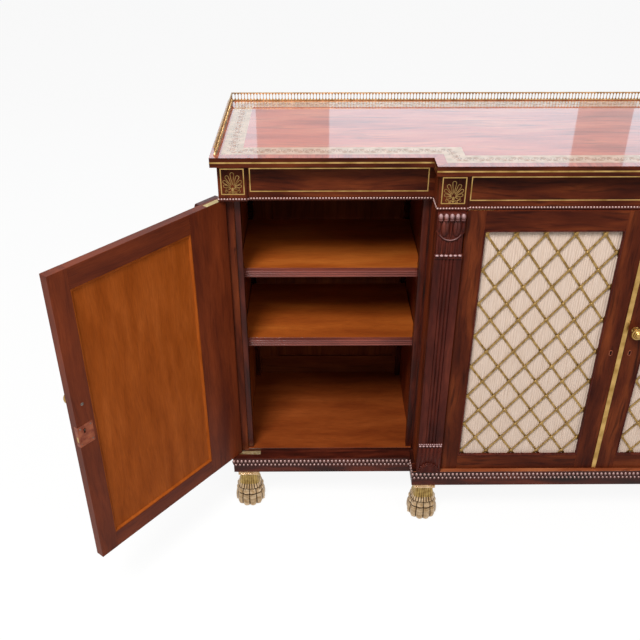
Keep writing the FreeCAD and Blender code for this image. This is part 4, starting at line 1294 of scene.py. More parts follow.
# ---- carving -------------------------------------------------------------------------------------
@dataclass
class PilasterCarving:
    """Carving on a pilaster: leaf tips, lobes and tongue of the console, collars, and the base.

    It is drawn around X = 0 on the plane that the pilaster stands on, and it faces -Y.
    """

    upper_collar_z: float = 710.0
    lower_collar_z: float = 231.0
    half_width: float = 27.2
    face: float = -9.5
    leaf_pitch: float = 10.8
    leaf_tilt: float = -24.0
    reed_pitch: float = 9.2
    base_reed_pitch: float = 9.0
    tongue: float = 24.0
    arch: float = 21.0

    @staticmethod
    def row(count: int, pitch: float) -> list[float]:
        """Places of a number of forms side by side around the middle."""
        return [(number - (count - 1) / 2.0) * pitch for number in range(count)]

    @staticmethod
    def arc(radius: float, start: float, step: float, count: int) -> list[Flat]:
        """Points on an arc in the XZ plane, from an angle on by steps, both in degrees."""
        angles = [math.radians(start + number * step) for number in range(count)]
        return [(radius * math.cos(angle), radius * math.sin(angle)) for angle in angles]

    @staticmethod
    def reed(x: float, y: float, z0: float, z1: float, radius: float) -> Object:
        """One upright reed with rounded ends."""
        tip = radius * 0.2
        rings = ((tip, z0), (radius, z0 + radius * 1.2), (radius, z1 - radius), (tip, z1))
        return Bench.carry(Bench.turned("reed", rings, 10), shift(x, y, 0.0))

    def console(self, top: float) -> list[Object]:
        """Leaf tips that curl over two lobes and a stem, and the lip of the tongue below."""
        pieces = []
        # Leaf tips, curls, the two lobes and the tongue's lip get a painted highlight on their
        # upper fronts.
        for x in self.row(5, self.leaf_pitch):
            tip = Bench.ball("tip", (5.3, 4.6, 7.2), segments=12, rings=10)
            Bench.painted_highlight(Bench.carry(tip, turn(self.leaf_tilt, "X")))
            pieces.append(Bench.carry(tip, shift(x, -13.6, top - 8.5)))
            curl = Bench.ball("curl", (4.6, 2.6, 2.8), (x, -16.2, top - 13.6), 10, 8)
            pieces.append(Bench.painted_highlight(curl, 0.6))
        for side in (-1.0, 1.0):
            lobe = Bench.ball("lobe", (8.2, 5.6, 19.5), (side * 11.2, -10.6, top - 31.0), 16, 12)
            pieces.append(Bench.painted_highlight(lobe, 0.25))
            pieces.append(Bench.ball("outer_leaf", (3.6, 5.0, 14.5),
                                     (side * 23.0, -10.2, top - 26.0), 12, 10))
            vein = ((10.5, -15.4, 15.0), (12.0, -16.6, 24.0), (11.0, -16.4, 38.0),
                    (7.0, -13.0, 49.0))
            pieces.append(Bench.wire("vein", [(side * x, y, top - z) for x, y, z in vein],
                                     0.9, 0.4))
        pieces.append(Bench.ball("stem", (2.7, 4.4, 21.0), (0.0, -11.6, top - 32.0), 12, 10))
        rim = [(x, -11.9, top - 34.0 + z) for x, z in self.arc(self.tongue, -150.0, 15.0, 9)]
        pieces.append(Bench.painted_highlight(Bench.wire("tongue_lip", rim, 1.7), 0.5))
        for x in self.row(5, self.reed_pitch):
            pieces.append(self.reed(x, self.face + 1.2, self.upper_collar_z + 4.0, top - 47.0, 3.3))
        return pieces

    def collars(self) -> list[Object]:
        """Long beads and a roll on the upper collar, and two rows of beads on the lower one."""
        pieces = []
        upper, lower = self.upper_collar_z, self.lower_collar_z
        # Each bead of the collars gets a painted highlight on its upper front.
        for count, pitch, half, y, z, facets in (
                (6, 8.9, (4.2, 3.6, 2.7), -10.9, upper + 1.4, (12, 8)),
                (7, 7.7, (3.6, 3.4, 2.3), -11.0, lower - 2.0, (12, 8)),
                (11, 4.9, (2.3, 2.2, 1.8), -10.8, lower + 2.6, (8, 6))):
            pieces += [Bench.painted_highlight(Bench.ball("bead", half, (x, y, z), *facets), 1.4)
                       for x in self.row(count, pitch)]
        roll = Bench.turned("roll", ((1.5, -self.half_width), (1.5, self.half_width)), 8)
        pieces.append(Bench.carry(roll, turn(90.0, "Y"), shift(0.0, -11.2, upper - 3.2)))
        return pieces

    def base(self, bottom: float) -> list[Object]:
        """Reeds that spread down to an arch with a beaded edge."""
        pieces = []
        arch_z = bottom + 6.0
        for x in self.row(6, self.base_reed_pitch):
            low = arch_z + math.sqrt(max(0.0, self.arch ** 2 - x * x)) + 1.0
            pieces.append(self.reed(x, self.face + 1.0, max(low, bottom + 8.0),
                                    self.lower_collar_z - 6.0, 3.6))
        edge = self.arc(self.arch, 180.0, -18.0, 11)
        pieces += [Bench.ball("bead", (2.4, 2.2, 2.4), (x, -13.0, arch_z + z)) for x, z in edge]
        inner = [(x * 0.8, -13.4, arch_z + z * 0.8) for x, z in edge]
        pieces.append(Bench.wire("arch_line", inner, 1.1))
        return pieces

    def build(self, name: str, node: str, body: str, place: Matrix, ends: Flat,
              stands_turned: float = 0.0) -> None:
        """Carve one pilaster onto its node's own shape.

        Args:
            name: name of the piece.
            node: the pilaster's node.
            body: the body that carries it.
            place: matrix from the pilaster's own millimetres to the model's metres.
            ends: its lowest and highest heights.
            stands_turned: angle in degrees by which it stands turned about Z.
        """
        bottom, top = ends
        carving = Bench.join("carving", self.console(top) + self.collars() + self.base(bottom))
        Bench.carry(Bench.rounded(Bench.outwards(carving), 60.0), place)
        Bench.painted(Joinery.mark_grain(carving, Grain.UPRIGHT), CARVED_ROSEWOOD)
        plain = Joinery.boards(node, (CARVED_ROSEWOOD,), Grain.UPRIGHT, stands_turned)
        finish_piece(Bench.join(name, [plain, carving]), body, Slot.ROSEWOOD, node)


@dataclass
class LionPaws:
    """Four cast and gilt lion's paws, each with a fluted neck and a beaded cap."""

    cap_half: float = 25.0
    ankle_z: float = 63.0
    toe_turns: tuple[float, ...] = (-75.0, -45.0, -15.0, 15.0, 45.0, 75.0)
    claw_points: tuple[Point, ...] = ((0.0, -31.0, 6.0), (0.0, -34.6, 4.6), (0.0, -35.0, 1.0))
    columns: int = 168
    rows: int = 56
    casting_gap: float = 9.5
    neck_gap: float = 20.5
    front_stretch: float = 0.1
    spots: tuple[Flat, ...] = ((-811.0, 25.0), (-390.0, -23.0))
    # Height, half width, depth of the furrows, furrows around, and squareness of the casting.
    profile: tuple[tuple[float, ...], ...] = (
        (0.0, 25.0, 4.6, 12, 2.2), (3.0, 30.2, 4.4, 12, 2.2), (9.0, 32.8, 3.3, 12, 2.2),
        (17.0, 33.0, 3.1, 12, 2.2), (26.0, 32.0, 3.0, 12, 2.3), (32.0, 30.6, 2.4, 12, 2.4),
        (35.0, 29.4, 1.4, 12, 2.4), (38.0, 30.2, 2.6, 12, 2.5), (42.0, 29.8, 3.2, 12, 2.5),
        (46.0, 28.4, 2.4, 12, 2.6), (49.5, 26.8, 1.0, 12, 2.8), (51.0, 26.6, 1.4, 28, 2.9),
        (56.0, 24.9, 1.9, 28, 3.3), (61.0, 23.3, 1.7, 28, 4.0), (66.0, 22.0, 1.2, 28, 4.8),
        (73.0, 21.0, 1.0, 28, 6.0), (84.0, 20.6, 1.0, 28, 6.0), (100.0, 21.8, 1.0, 28, 6.0))
    # How far each moulding of the cap is set in, its ends below the top of the foot, its ease.
    mouldings: tuple[tuple[float, ...], ...] = (
        (1.4, 13.2, 0.0, 0.5), (0.2, 17.2, 13.0, 1.2), (3.0, 20.4, 17.0, 1.4))
    cap_bead: Point = (1.9, 1.6, 1.9)
    cap_bead_pitch: float = 4.4

    def reach(self, angle: float, height: float) -> float:
        """Radius of the casting at an angle from the front and a height over the floor."""
        low, high = next(pair for pair in zip(self.profile, self.profile[1:])
                         if height <= pair[1][0])
        share = (height - low[0]) / (high[0] - low[0])
        share = share * share * (3.0 - 2.0 * share)
        half, depth, square = (low[k] + (high[k] - low[k]) * share for k in (1, 2, 4))
        bulge = abs(math.sin(low[3] * angle / 2.0)) ** 0.7
        corner = abs(math.sin(angle)) ** square + abs(math.cos(angle)) ** square
        return (half + depth * bulge) * corner ** (-1.0 / square)

    def casting(self) -> Object:
        """Foot and neck of one paw: a sheet wrapped round, with its relief, as in a casting."""
        Bench.clear()
        bpy.ops.mesh.primitive_grid_add(x_subdivisions=self.columns, y_subdivisions=self.rows,
                                        size=2.0)
        piece = Bench.named("paw")
        for vertex in piece.data.vertices:
            angle = math.pi * vertex.co.x
            height = (vertex.co.y + 1.0) / 2.0 * (PLAN.foot_height - self.casting_gap)
            reach, forward = self.reach(angle, height), max(0.0, math.cos(angle))
            stretch = 1.0 + self.front_stretch * forward * max(0.0, 1.0 - height / self.ankle_z)
            vertex.co = (reach * math.sin(angle), -reach * math.cos(angle) * stretch, height)
        with Bench.editing(piece):
            bpy.ops.mesh.remove_doubles(threshold=0.01)
            bpy.ops.mesh.fill_holes(sides=0)
            bpy.ops.mesh.normals_make_consistent(inside=False)
        return piece

    def cap(self) -> list[Object]:
        """Moulded cap of the neck with its row of beads."""
        top = PLAN.foot_height
        places = [turn(90.0 * quarter, "Z")
                  @ shift((number - 5) * self.cap_bead_pitch, 1.4 - self.cap_half, top - 10.6)
                  for quarter in range(4) for number in range(11)]
        pieces = [Bench.scatter("beads", Bench.ball("bead", self.cap_bead), places)]
        for inset, low, high, ease in self.mouldings:
            half = self.cap_half - inset
            pieces.append(Bench.block("slab", (-half, -half, top - low), (half, half, top - high),
                                      ease))
        return pieces

    def build(self) -> None:
        """Cast one paw, chase it and set copies under the four corners."""
        claws = [Bench.carry(Bench.wire("claw", list(self.claw_points), 2.6, 0.4), turn(toe, "Z"))
                 for toe in self.toe_turns]
        master = Bench.join("paw", [self.casting(), *self.cap(), *claws])
        Bench.rounded(Bench.painted(master, GILT, GILT_NECK), 60.0)
        for polygon in master.data.polygons:
            height = polygon.center.z
            polygon.material_index = int(self.ankle_z < height < PLAN.foot_height - self.neck_gap)
        places = [shift(side * x, y, 0.0) for x, y in self.spots for side in (1.0, -1.0)]
        paws = Bench.carry(Bench.scatter("lion_paws", master, places), PLAN.place())
        finish_piece(paws, "carcase", Slot.GILT, "paw_feet")


# ---- inlay ---------------------------------------------------------------------------------------
@dataclass
class Anthemion:
    """Palmette of brass lines: nine petals over a calyx and two pairs of scrolls, facing -Y.

    Its small forms are drawn for a palmette 40 mm high and scaled to the wanted height.
    """

    height: float = 42.0
    line: float = 1.05
    relief: float = 0.25
    petals: int = 9
    spread: float = 100.0
    overlap: float = 0.012
    foot: float = 11.0
    scroll: tuple[Flat, ...] = ((0.0, 7.0), (4.0, 3.0), (9.0, 3.4), (11.4, 7.4), (14.6, 5.4),
                                (13.2, 1.8), (11.0, 4.0))
    curl: tuple[Flat, ...] = ((0.0, 3.6), (3.0, 2.6), (6.0, -0.6), (8.6, 0.6), (6.8, 2.2))

    def petal(self, length: float, width: float) -> Object:
        """Outline of one petal: a drop that is narrow at the calyx, in the XZ plane."""
        piece = Bench.disc("petal", 20)
        for vertex in piece.data.vertices:
            x, y = vertex.co.x, vertex.co.y
            if y > 0.0:
                vertex.co = (x * width, length - width + y * width, 0.0)
            else:
                vertex.co = (x * width * (1.0 + 0.52 * y), (1.0 + 0.78 * y) * (length - width), 0.0)
        with Bench.editing(piece):
            bpy.ops.mesh.inset(thickness=self.line, use_even_offset=False)
            bpy.ops.mesh.delete(type="ONLY_FACE")
        return Bench.carry(piece, turn(90.0, "X"))

    def make(self, name: str) -> Object:
        """One palmette with its foot at the origin.

        Args:
            name: name of the piece.

        Returns:
            The piece, a thin relief around the XZ plane.
        """
        unit = self.height / 40.0
        foot = self.foot * unit
        pieces = []
        for number in range(self.petals):
            angle = (number / (self.petals - 1) - 0.5) * 2.0 * self.spread
            share = abs(angle) / self.spread
            petal = self.petal((30.5 - 17.5 * share ** 1.1) * unit, (3.9 - share) * unit)
            pieces.append(Bench.carry(petal, turn(angle, "Y"),
                                      shift(0.0, number * self.overlap, foot)))
        for side in (-1.0, 1.0):
            for points in (self.scroll, self.curl):
                wire = Bench.wire("scroll", [(side * x * unit, 0.0, z * unit) for x, z in points],
                                  self.line / 2.0, 0.6)
                pieces.append(Bench.carry(wire, Matrix.Scale(0.1, 4, (0.0, 1.0, 0.0))))
        pieces.append(Bench.ball("calyx", (2.5 * unit, 0.1, 3.6 * unit),
                                 (0.0, 0.0, foot - 3.0 * unit), 10))
        pieces.append(Bench.ball("tip", (1.5 * unit, 0.1, 2.4 * unit), (0.0, 0.0, 1.6 * unit)))
        piece = Bench.join(name, pieces)
        Bench.modify(piece, "SOLIDIFY", thickness=self.relief, offset=0.0)
        return piece


def let_in_palmettes(foot_z: float = 819.0, sunk: float = 0.05) -> None:
    """Let a palmette into each of the four corner tablets of the frieze.

    Args:
        foot_z: height of the palmettes' feet.
        sunk: how deep the middle of their thickness lies.
    """
    half = PLAN.tablet_width / 2.0
    spots = ((half - PLAN.half_width, 0.0), (half - PLAN.break_half_width, -PLAN.break_depth))
    places = [shift(side * x, y - sunk, foot_z) for x, y in spots for side in (1.0, -1.0)]
    palmettes = Bench.scatter("frieze_palmettes", Anthemion().make("palmette"), places)
    Bench.painted(Bench.carry(palmettes, PLAN.place()), GRILLE_BRASS)
    finish_piece(palmettes, "carcase", Slot.BRASS)


@dataclass
class TopSurface:
    """Top board: crossbanding, and a brass band with dark foliage between two brass lines."""

    crossband: float = 20.0
    line: float = 1.8
    band: float = 36.0
    motif_pitch: float = 21.0
    motif_height: float = 24.0
    motif_relief: float = 0.2
    leaves: int = 7
    leaf_angle: float = 34.0
    leaf_half: float = 1.25
    # Material slots of the field, the crossband, the brass and the sides of the board.
    slots: tuple[int, ...] = (0, 1, 2, 3)

    def rings(self, board: Object) -> Object:
        """Inset the board's upper face ring by ring and give each ring its finish.

        Args:
            board: the dressed top board, in metres.

        Returns:
            The crossbanding, as a piece of its own whose grain runs across it.
        """
        field, banding, brass, sides = self.slots
        for finish in (CROSSBAND, INLAID_BRASS, ROSEWOOD):
            board.data.materials.append(material_of(finish))
        highest = max(vertex.co.z for vertex in board.data.vertices)
        for polygon in board.data.polygons:
            polygon.select = polygon.center.z > highest - Joinery.weld
            polygon.material_index = field if polygon.select else sides
        with Bench.editing(board, everything=False):
            bpy.ops.mesh.select_mode(type="FACE")
            for width, slot in ((self.crossband, banding), (self.line, brass),
                                (self.band, brass), (self.line, brass)):
                board.active_material_index = slot
                bpy.ops.object.material_slot_assign()
                bpy.ops.mesh.inset(thickness=width * MM, use_even_offset=True)
            board.active_material_index = field
            bpy.ops.object.material_slot_assign()
            bpy.ops.mesh.select_all(action="DESELECT")
        for polygon in board.data.polygons:
            polygon.select = polygon.material_index == banding
        with Bench.editing(board, everything=False):
            bpy.ops.mesh.separate(type="SELECTED")
        band = next(piece for piece in bpy.context.selected_objects if piece is not board)
        with Bench.editing(band):
            bpy.ops.mesh.edge_split()
        self.cross_grain(band)
        return band

    @staticmethod
    def cross_grain(band: Object) -> None:
        """Turn the grain of each length of crossbanding across it."""
        grains = band.data.attributes[GRAIN].data
        for polygon in band.data.polygons:
            places = [band.data.vertices[v].co for v in polygon.vertices]
            size_x, size_y, _ = spans(places)
            for vertex, (x, y, _) in zip(polygon.vertices, places):
                grains[vertex].vector = (y, x, 0.0) if size_x > size_y else (x, y, 0.0)

    def foliage(self) -> Object:
        """Dark leaves on the brass band: sprigs that stand in turn up and down."""
        inset = self.crossband + self.line + self.band / 2.0
        corners = PLAN.outline(PLAN.top_side_overhang - inset, inset - PLAN.top_front_overhang,
                               PLAN.depth + PLAN.top_back_overhang - inset)
        places = []
        for run in runs_between([*corners, corners[0]]):
            way = Vector(run.end) - Vector(run.start)
            angle = math.degrees(math.atan2(way.y, way.x))
            for step, spot in enumerate(run.spots(self.motif_pitch, 0.5)):
                places.append(shift(*spot, PLAN.total_height) @ turn(angle + step % 2 * 180.0, "Z"))
        return Bench.scatter("top_band_foliage", self.sprig(), places)

    def sprig(self) -> Object:
        """One sprig of seven leaves, lying in the XY plane around the origin."""
        pieces = []
        for number in range(self.leaves):
            side = number - self.leaves // 2
            length = self.motif_height * (0.62 - 0.05 * abs(side))
            leaf = Bench.disc("leaf", 8)
            for vertex in leaf.data.vertices:
                x, share = vertex.co.x, (vertex.co.y + 1.0) / 2.0
                vertex.co = (x * self.leaf_half * (0.25 + 0.75 * share),
                             (0.18 + 0.82 * share) * length, 0.0)
            pieces.append(Bench.carry(leaf, turn(side * self.leaf_angle, "Z"),
                                      shift(0.0, -0.3 * self.motif_height, 0.0)))
        return Bench.grow(Bench.join("sprig", pieces), [(self.motif_relief, 1.0, 1.0)])

    def build(self) -> None:
        """Make the top board with its bands."""
        board = Joinery.boards("top_board", (ROSEWOOD_TOP,))
        piece = Bench.join("top_board_polished", [board, self.rings(board)])
        finish_piece(piece, "carcase", Slot.ROSEWOOD, "top_board")
        leaves = Joinery.mark_grain(Bench.carry(self.foliage(), PLAN.place()))
        finish_piece(Bench.painted(leaves, FADED_INLAY), "carcase", Slot.ROSEWOOD)


# ---- brassware -----------------------------------------------------------------------------------
# Turn of fittings that are drawn facing +Z onto the inner face of a door, and onto its front.
INNER_FACE = turn(-90.0, "X")
FRONT_FACE = turn(90.0, "X")


@dataclass
class DoorBrass:
    """Knob, keyhole, lock and hinge plates of each door."""

    knob_z: float = 532.5
    key_z: float = 474.5
    wing_knob_inset: float = 20.0
    centre_fittings_x: float = -20.0
    key_inset: float = 14.5
    knob_rings: tuple[Flat, ...] = (
        (7.6, 0.0), (7.6, 1.2), (5.0, 2.4), (4.4, 7.0), (5.2, 10.5), (10.6, 13.0), (13.6, 15.2),
        (14.0, 17.0), (13.2, 18.8), (11.0, 19.8), (10.0, 19.5), (9.2, 21.6), (7.6, 22.8),
        (6.6, 22.4), (5.4, 24.6), (3.4, 25.7), (0.4, 26.0))
    pin_rings: tuple[Flat, ...] = ((0.9, 0.0), (0.9, 1.4), (0.5, 1.7))
    lock_width: float = 34.0
    lock_z: Flat = (442.0, 488.0)
    case_screw: float = 1.7
    knob_screw: float = 3.2
    plate_ease: float = 0.3
    # The knob is over this many points and thicker than this; locks and linings go by height.
    knob_points: int = 60
    knob_size: float = 20.0
    lock_height: float = 40.0
    lining_heights: Flat = (10.0, 20.0)

    def knob(self, x: float, front_y: float) -> Object:
        """Turned knob with a stepped face, pointing to -Y."""
        piece = Bench.carry(Bench.turned("knob", self.knob_rings, 28), FRONT_FACE)
        return Bench.carry(Bench.painted(Bench.rounded(piece), BRASS),
                           shift(x, front_y, self.knob_z))

    @staticmethod
    def screw(x: float, y: float, z: float, radius: float) -> Object:
        """Countersunk screw head with its slot, on the inner face."""
        head = Bench.turned("screw", ((radius, -0.4), (radius, 0.05), (radius * 0.8, 0.3)), 14)
        half = radius * 0.85
        # Painted shade: the slot is a thin black block, not a cut.
        slot = Joinery.mark_grain(Bench.block("slot", (-half, -0.3, 0.1), (half, 0.3, 0.36)))
        pieces = [Bench.painted(head, STEEL), Bench.painted(slot, KEYHOLE_BLACK)]
        return Bench.carry(Bench.join("screw_head", pieces), shift(x, y, z) @ INNER_FACE)

    def keyhole(self, x: float, y: float, facing: float) -> Object:
        """Keyhole with its thin lining, on the front or, turned by 180 degrees, inside."""
        angles = [math.radians(30.0 * number) for number in range(13)]
        lining = Bench.wire("lining", [(3.4 * math.cos(a), 0.0, 6.3 * math.sin(a)) for a in angles],
                            0.55)
        # Painted shade: the hole and the slit are shallow black forms, not openings.
        hole = Bench.ball("hole", (2.3, 0.35, 2.3), (0.0, 0.0, 2.4), 14, 8)
        slit = Bench.block("slit", (-1.15, -0.3, -4.6), (1.15, 0.3, 2.0))
        dark = Joinery.mark_grain(Bench.join("hole", [hole, slit]))
        pieces = [Bench.painted(lining, LOCK_BRASS), Bench.painted(dark, KEYHOLE_BLACK)]
        return Bench.carry(Bench.join("keyhole", pieces),
                           shift(x, y, self.key_z) @ turn(facing, "Z"))

    def lock_details(self, door: DoorLeaf, back_y: float) -> list[Object]:
        """Inner face of the lock: rim, plate, pin in the keyhole, and screws.

        Args:
            door: the door of the lock.
            back_y: plane of the door's inner face.

        Returns:
            The pieces, the last of them the end of the knob's screw.
        """
        x1 = door.free_end
        x0 = x1 - self.lock_width
        z0, z1 = self.lock_z
        cover = [Bench.block("rim", (left, back_y - 0.3, low), (right, back_y + 0.5, high), 0.35, 1)
                 for left, low, right, high in (
                     (x0, z0, x1, z0 + 2.2), (x0, z0, x0 + 2.0, z1),
                     (x0 + 7.0, z1 - 2.4, x1 - 4.0, z1))]
        cover.append(Bench.block("plate", (x0 + 8.0, back_y - 0.2, z0 + 4.0),
                                 (x1 - 4.0, back_y + 0.45, z0 + 14.0), 0.4))
        key_x = x1 - self.key_inset
        pieces = [Bench.painted(Bench.join("rim", cover), LOCK_BRASS),
                  self.keyhole(key_x, back_y + 0.15, 180.0)]
        pin = Bench.carry(Bench.turned("pin", self.pin_rings, 10),
                          shift(key_x, back_y, self.key_z + 2.2) @ INNER_FACE)
        pieces.append(Bench.painted(pin, STEEL))
        for x, z in ((x0 + 4.5, z0 + 6.0), (x1 - 5.0, z0 + 6.0), (x0 + 4.5, z1 - 6.0),
                     (x1 - 6.0, z1 - 6.0)):
            pieces.append(self.screw(x, back_y + 0.1, z, self.case_screw))
        pieces.append(self.screw(x1 - self.wing_knob_inset, back_y + 0.15, self.knob_z,
                                 self.knob_screw))
        return pieces

    def plates(self, node: str) -> list[Object]:
        """Hinge plates, keyhole lining and lock case as the model has them, without the knob."""
        pieces = []
        for points, faces in Joinery.solids(node):
            sizes = [size / MM for size in spans(points)]
            if len(points) > self.knob_points and min(sizes) > self.knob_size:
                continue
            plate = Bench.solid("plate", points, faces)
            Bench.modify(plate, "BEVEL", width=self.plate_ease * MM, segments=1,
                         limit_method="ANGLE")
            low, high = self.lining_heights
            of_lock = sizes[2] > self.lock_height or low < sizes[2] < high
            pieces.append(Bench.painted(plate, LOCK_BRASS if of_lock else BRASS))
        return pieces

    def build(self, door: DoorLeaf) -> None:
        """Dress the brass of one door."""
        node = door.body + "_brassware"
        plates = self.plates(node)
        held = not door.wing and door.left_half
        at_middle = not door.wing and not door.left_half
        key_x = self.centre_fittings_x if at_middle else door.free_end - self.key_inset
        fresh = [self.keyhole(key_x, door.front_y - 0.1, 0.0)]
        if not held:
            knob_x = self.centre_fittings_x if at_middle else door.free_end - self.wing_knob_inset
            fresh.append(self.knob(knob_x, door.front_y))
            fresh += self.lock_details(door, door.front_y + PLAN.door_thickness)
        detail = Bench.carry(Bench.join("detail", fresh), door.place())
        piece = Bench.join(door.body + "_brass_fittings", plates + [detail])
        finish_piece(piece, door.body, Slot.BRASS, node)


def fix_meeting_strip(left: float = -5.0, right: float = 5.25, proud: float = 2.0,
                      ease: float = 1.7) -> None:
    """Fix the half-round brass strip on the edge of the right centre door.

    Args:
        left: its left edge.
        right: its right edge.
        proud: how far it stands out of the doors' front.
        ease: how much of its edges is rounded away.
    """
    y = PLAN.centre_front
    strip = Bench.block("meeting_strip", (left, y - proud, PLAN.door_bottom),
                        (right, y, PLAN.door_top))
    # Marked sharp, the edges of the front keep their ends crisp when they are rounded.
    for edge in strip.data.edges:
        ends = [strip.data.vertices[v].co for v in edge.vertices]
        edge.use_edge_sharp = all(abs(end.y - (y - proud)) < 0.01 for end in ends)
    Bench.modify(strip, "BEVEL", width=ease, segments=4, limit_method="ANGLE")
    Bench.painted(Bench.carry(Bench.rounded(strip), PLAN.place()), BRASS)
    finish_piece(strip, "right_centre_door", Slot.BRASS, "right_centre_door_meeting_strip")


# ---- the studio ----------------------------------------------------------------------------------
@dataclass(frozen=True)
class Studio:
    """Plain pale floor, soft light and the camera."""

    camera_place: Point = (-647.4, -1434.4, 1401.2)
    pitch_down: float = 31.243
    yaw_right: float = 0.368
    focal_share: float = 785.32 / 640.0
    floor_half: float = 20.0
    floor_own_light: float = 0.82
    floor_glow: float = 1.12
    soft_light: float = 0.25
    # Name, place, aim, size in metres, power and tint of each lamp.
    lamp_table: tuple = (
        ("key", (-1500.0, -2000.0, 3400.0), (-500.0, 0.0, 500.0), (1.2, 1.2), 134.0,
         (1.0, 1.0, 1.0)),
        ("fill", (1500.0, -2300.0, 3000.0), (-200.0, 0.0, 450.0), (1.6, 1.6), 34.0,
         (1.0, 1.0, 1.0)),
        ("window_left", (-1815.0, 3600.0, 2150.0), (-1815.0, 0.0, 2150.0), (1.57, 0.9), 5.6,
         (0.42, 0.82, 1.0)),
        ("window_middle", (250.0, 3600.0, 2150.0), (250.0, 0.0, 2150.0), (1.61, 0.9), 5.6,
         (0.42, 0.82, 1.0)),
        ("window_right", (2205.0, 3600.0, 2150.0), (2205.0, 0.0, 2150.0), (1.58, 0.9), 5.6,
         (0.42, 0.82, 1.0)))

    def camera(self) -> None:
        """Camera at the viewing angle of a person who stands before the left part."""
        data = bpy.data.cameras.new("view")
        data.sensor_width = 36.0
        data.lens = self.focal_share * data.sensor_width
        camera = bpy.data.objects.new("view", data)
        camera.location = PLAN.place() @ Vector(self.camera_place)
        camera.rotation_euler = (math.radians(90.0 - self.pitch_down), 0.0,
                                 math.radians(-self.yaw_right))
        bpy.context.scene.collection.objects.link(camera)
        bpy.context.scene.camera = camera

    @staticmethod
    def seen(material: Material) -> NodeSocket:
        """1 for rays that the camera, polish or glass sends, 0 for light on the object."""
        path = add_node(material, "LightPath").outputs
        first = add_node(material, "Math", {0: path["Is Camera Ray"], 1: path["Is Glossy Ray"]},
                         operation="MAXIMUM").outputs[0]
        return add_node(material, "Math", {0: first, 1: path["Is Transmission Ray"]},
                        operation="MAXIMUM").outputs[0]

    def floor(self) -> None:
        """Pale floor that shows white to the camera and in polish, and keeps soft shadows."""
        Bench.clear()
        bpy.ops.mesh.primitive_plane_add(size=2.0 * self.floor_half)
        floor = Bench.named("studio_floor")
        material = new_material("floor_pale_paper")
        matt = add_node(material, "BsdfDiffuse", {"Color": colour("#BDBBB7")})
        glow = add_node(material, "Emission", {"Color": colour("#FFFFFF"),
                                               "Strength": self.floor_glow})
        share = add_node(material, "Math", {0: self.seen(material), 1: self.floor_own_light},
                         operation="MULTIPLY").outputs[0]
        mixed = add_node(material, "MixShader", {0: share, 1: matt.outputs[0], 2: glow.outputs[0]})
        add_node(material, "OutputMaterial", {"Surface": mixed.outputs[0]})
        floor.data.materials.append(material)

    def world(self) -> None:
        """White surroundings for the camera and for polish, and a soft light for the object."""
        world = bpy.data.worlds.new("studio")
        bpy.context.scene.world = world
        world.use_nodes = True
        world.node_tree.nodes.clear()
        soft = add_node(world, "Background", {"Color": colour("#F2F4FF"),
                                              "Strength": self.soft_light})
        white = add_node(world, "Background", {"Color": colour("#FFFFFF"), "Strength": 1.0})
        mixed = add_node(world, "MixShader", {0: self.seen(world), 1: soft.outputs[0],
                                              2: white.outputs[0]})
        add_node(world, "OutputWorld", {"Surface": mixed.outputs[0]})

    def lamps(self) -> None:
        """Soft lamps: high on the left, low on the right, and three behind for the top's shine."""
        for name, place, aim, size, power, tint in self.lamp_table:
            data = bpy.data.lights.new(name, "AREA")
            data.energy = power
            data.color = tint
            data.shape = "RECTANGLE"
            data.size, data.size_y = size
            lamp = bpy.data.objects.new(name, data)
            lamp.location = PLAN.place() @ Vector(place)
            look = PLAN.place() @ Vector(aim) - lamp.location
            lamp.rotation_euler = look.to_track_quat("-Z", "Y").to_euler()
            lamp.visible_camera = False
            bpy.context.scene.collection.objects.link(lamp)

    def build(self) -> None:
        """Set the studio up."""
        self.camera()
        self.floor()
        self.world()
        self.lamps()
        bpy.context.scene.view_settings.view_transform = "Standard"


# ---- the whole cabinet ---------------------------------------------------------------------------
def front_edge(polygon: MeshPolygon) -> bool:
    """Whether a face is on the visible front edge of a board."""
    return polygon.normal.y < -0.5


def outside(polygon: MeshPolygon) -> bool:
    """Whether a face of an end board looks away from the cupboards."""
    side = polygon.center.x - PLAN.origin().x
    return front_edge(polygon) or polygon.normal.x * side > 0.5 * abs(side)


def ledge(polygon: MeshPolygon) -> bool:
    """Whether a face is on the ledge of the plinth before the centre doors."""
    middle = abs(polygon.center.x - PLAN.origin().x) < PLAN.break_half_width / 2.0 * MM
    return middle and polygon.normal.z > 0.5 and polygon.center.y < PLAN.origin().y


def dress_carcase() -> None:
    """Remake the board nodes of the carcase in their woods."""
    rosewood, pine = (ROSEWOOD,), (STAINED_PINE,)
    edged_cedar = (CEDAR_WORN, PLINTH_ROSEWOOD)
    upright, longest = Grain.UPRIGHT, Grain.LONGEST
    for node, slot, finishes, grain, second in (
            ("end_boards", Slot.ROSEWOOD, (CEDAR_WORN, ROSEWOOD), upright, outside),
            # Their front edges take the darker plinth rosewood, which also paints the shade on
            # them.
            ("partitions", Slot.ROSEWOOD, (RED_MAHOGANY, PLINTH_ROSEWOOD), upright, front_edge),
            ("floor_and_ceiling_boards", Slot.ROSEWOOD, edged_cedar, longest, front_edge),
            # The ledge's upward faces take the paler rosewood: a painted reflection.
            ("plinth_boards", Slot.ROSEWOOD, (PLINTH_ROSEWOOD, LEDGE_PAINTED_SHEEN), longest, ledge),
            ("frieze_boards", Slot.ROSEWOOD, rosewood, longest, None),
            ("frieze_tablets", Slot.ROSEWOOD, rosewood, upright, None),
            ("centre_posts", Slot.ROSEWOOD, rosewood, upright, None),
            ("back_frame", Slot.MAHOGANY, pine, longest, None),
            ("back_panels", Slot.MAHOGANY, pine, longest, None),
            ("rear_feet", Slot.DARK_WOOD, (DARK_OAK,), upright, None),
            ("shelf_racks_and_bearers", Slot.ROSEWOOD, (PLINTH_ROSEWOOD,), upright, None)):
        Joinery.replace(node, "carcase", slot, finishes, grain, 0.0, second)


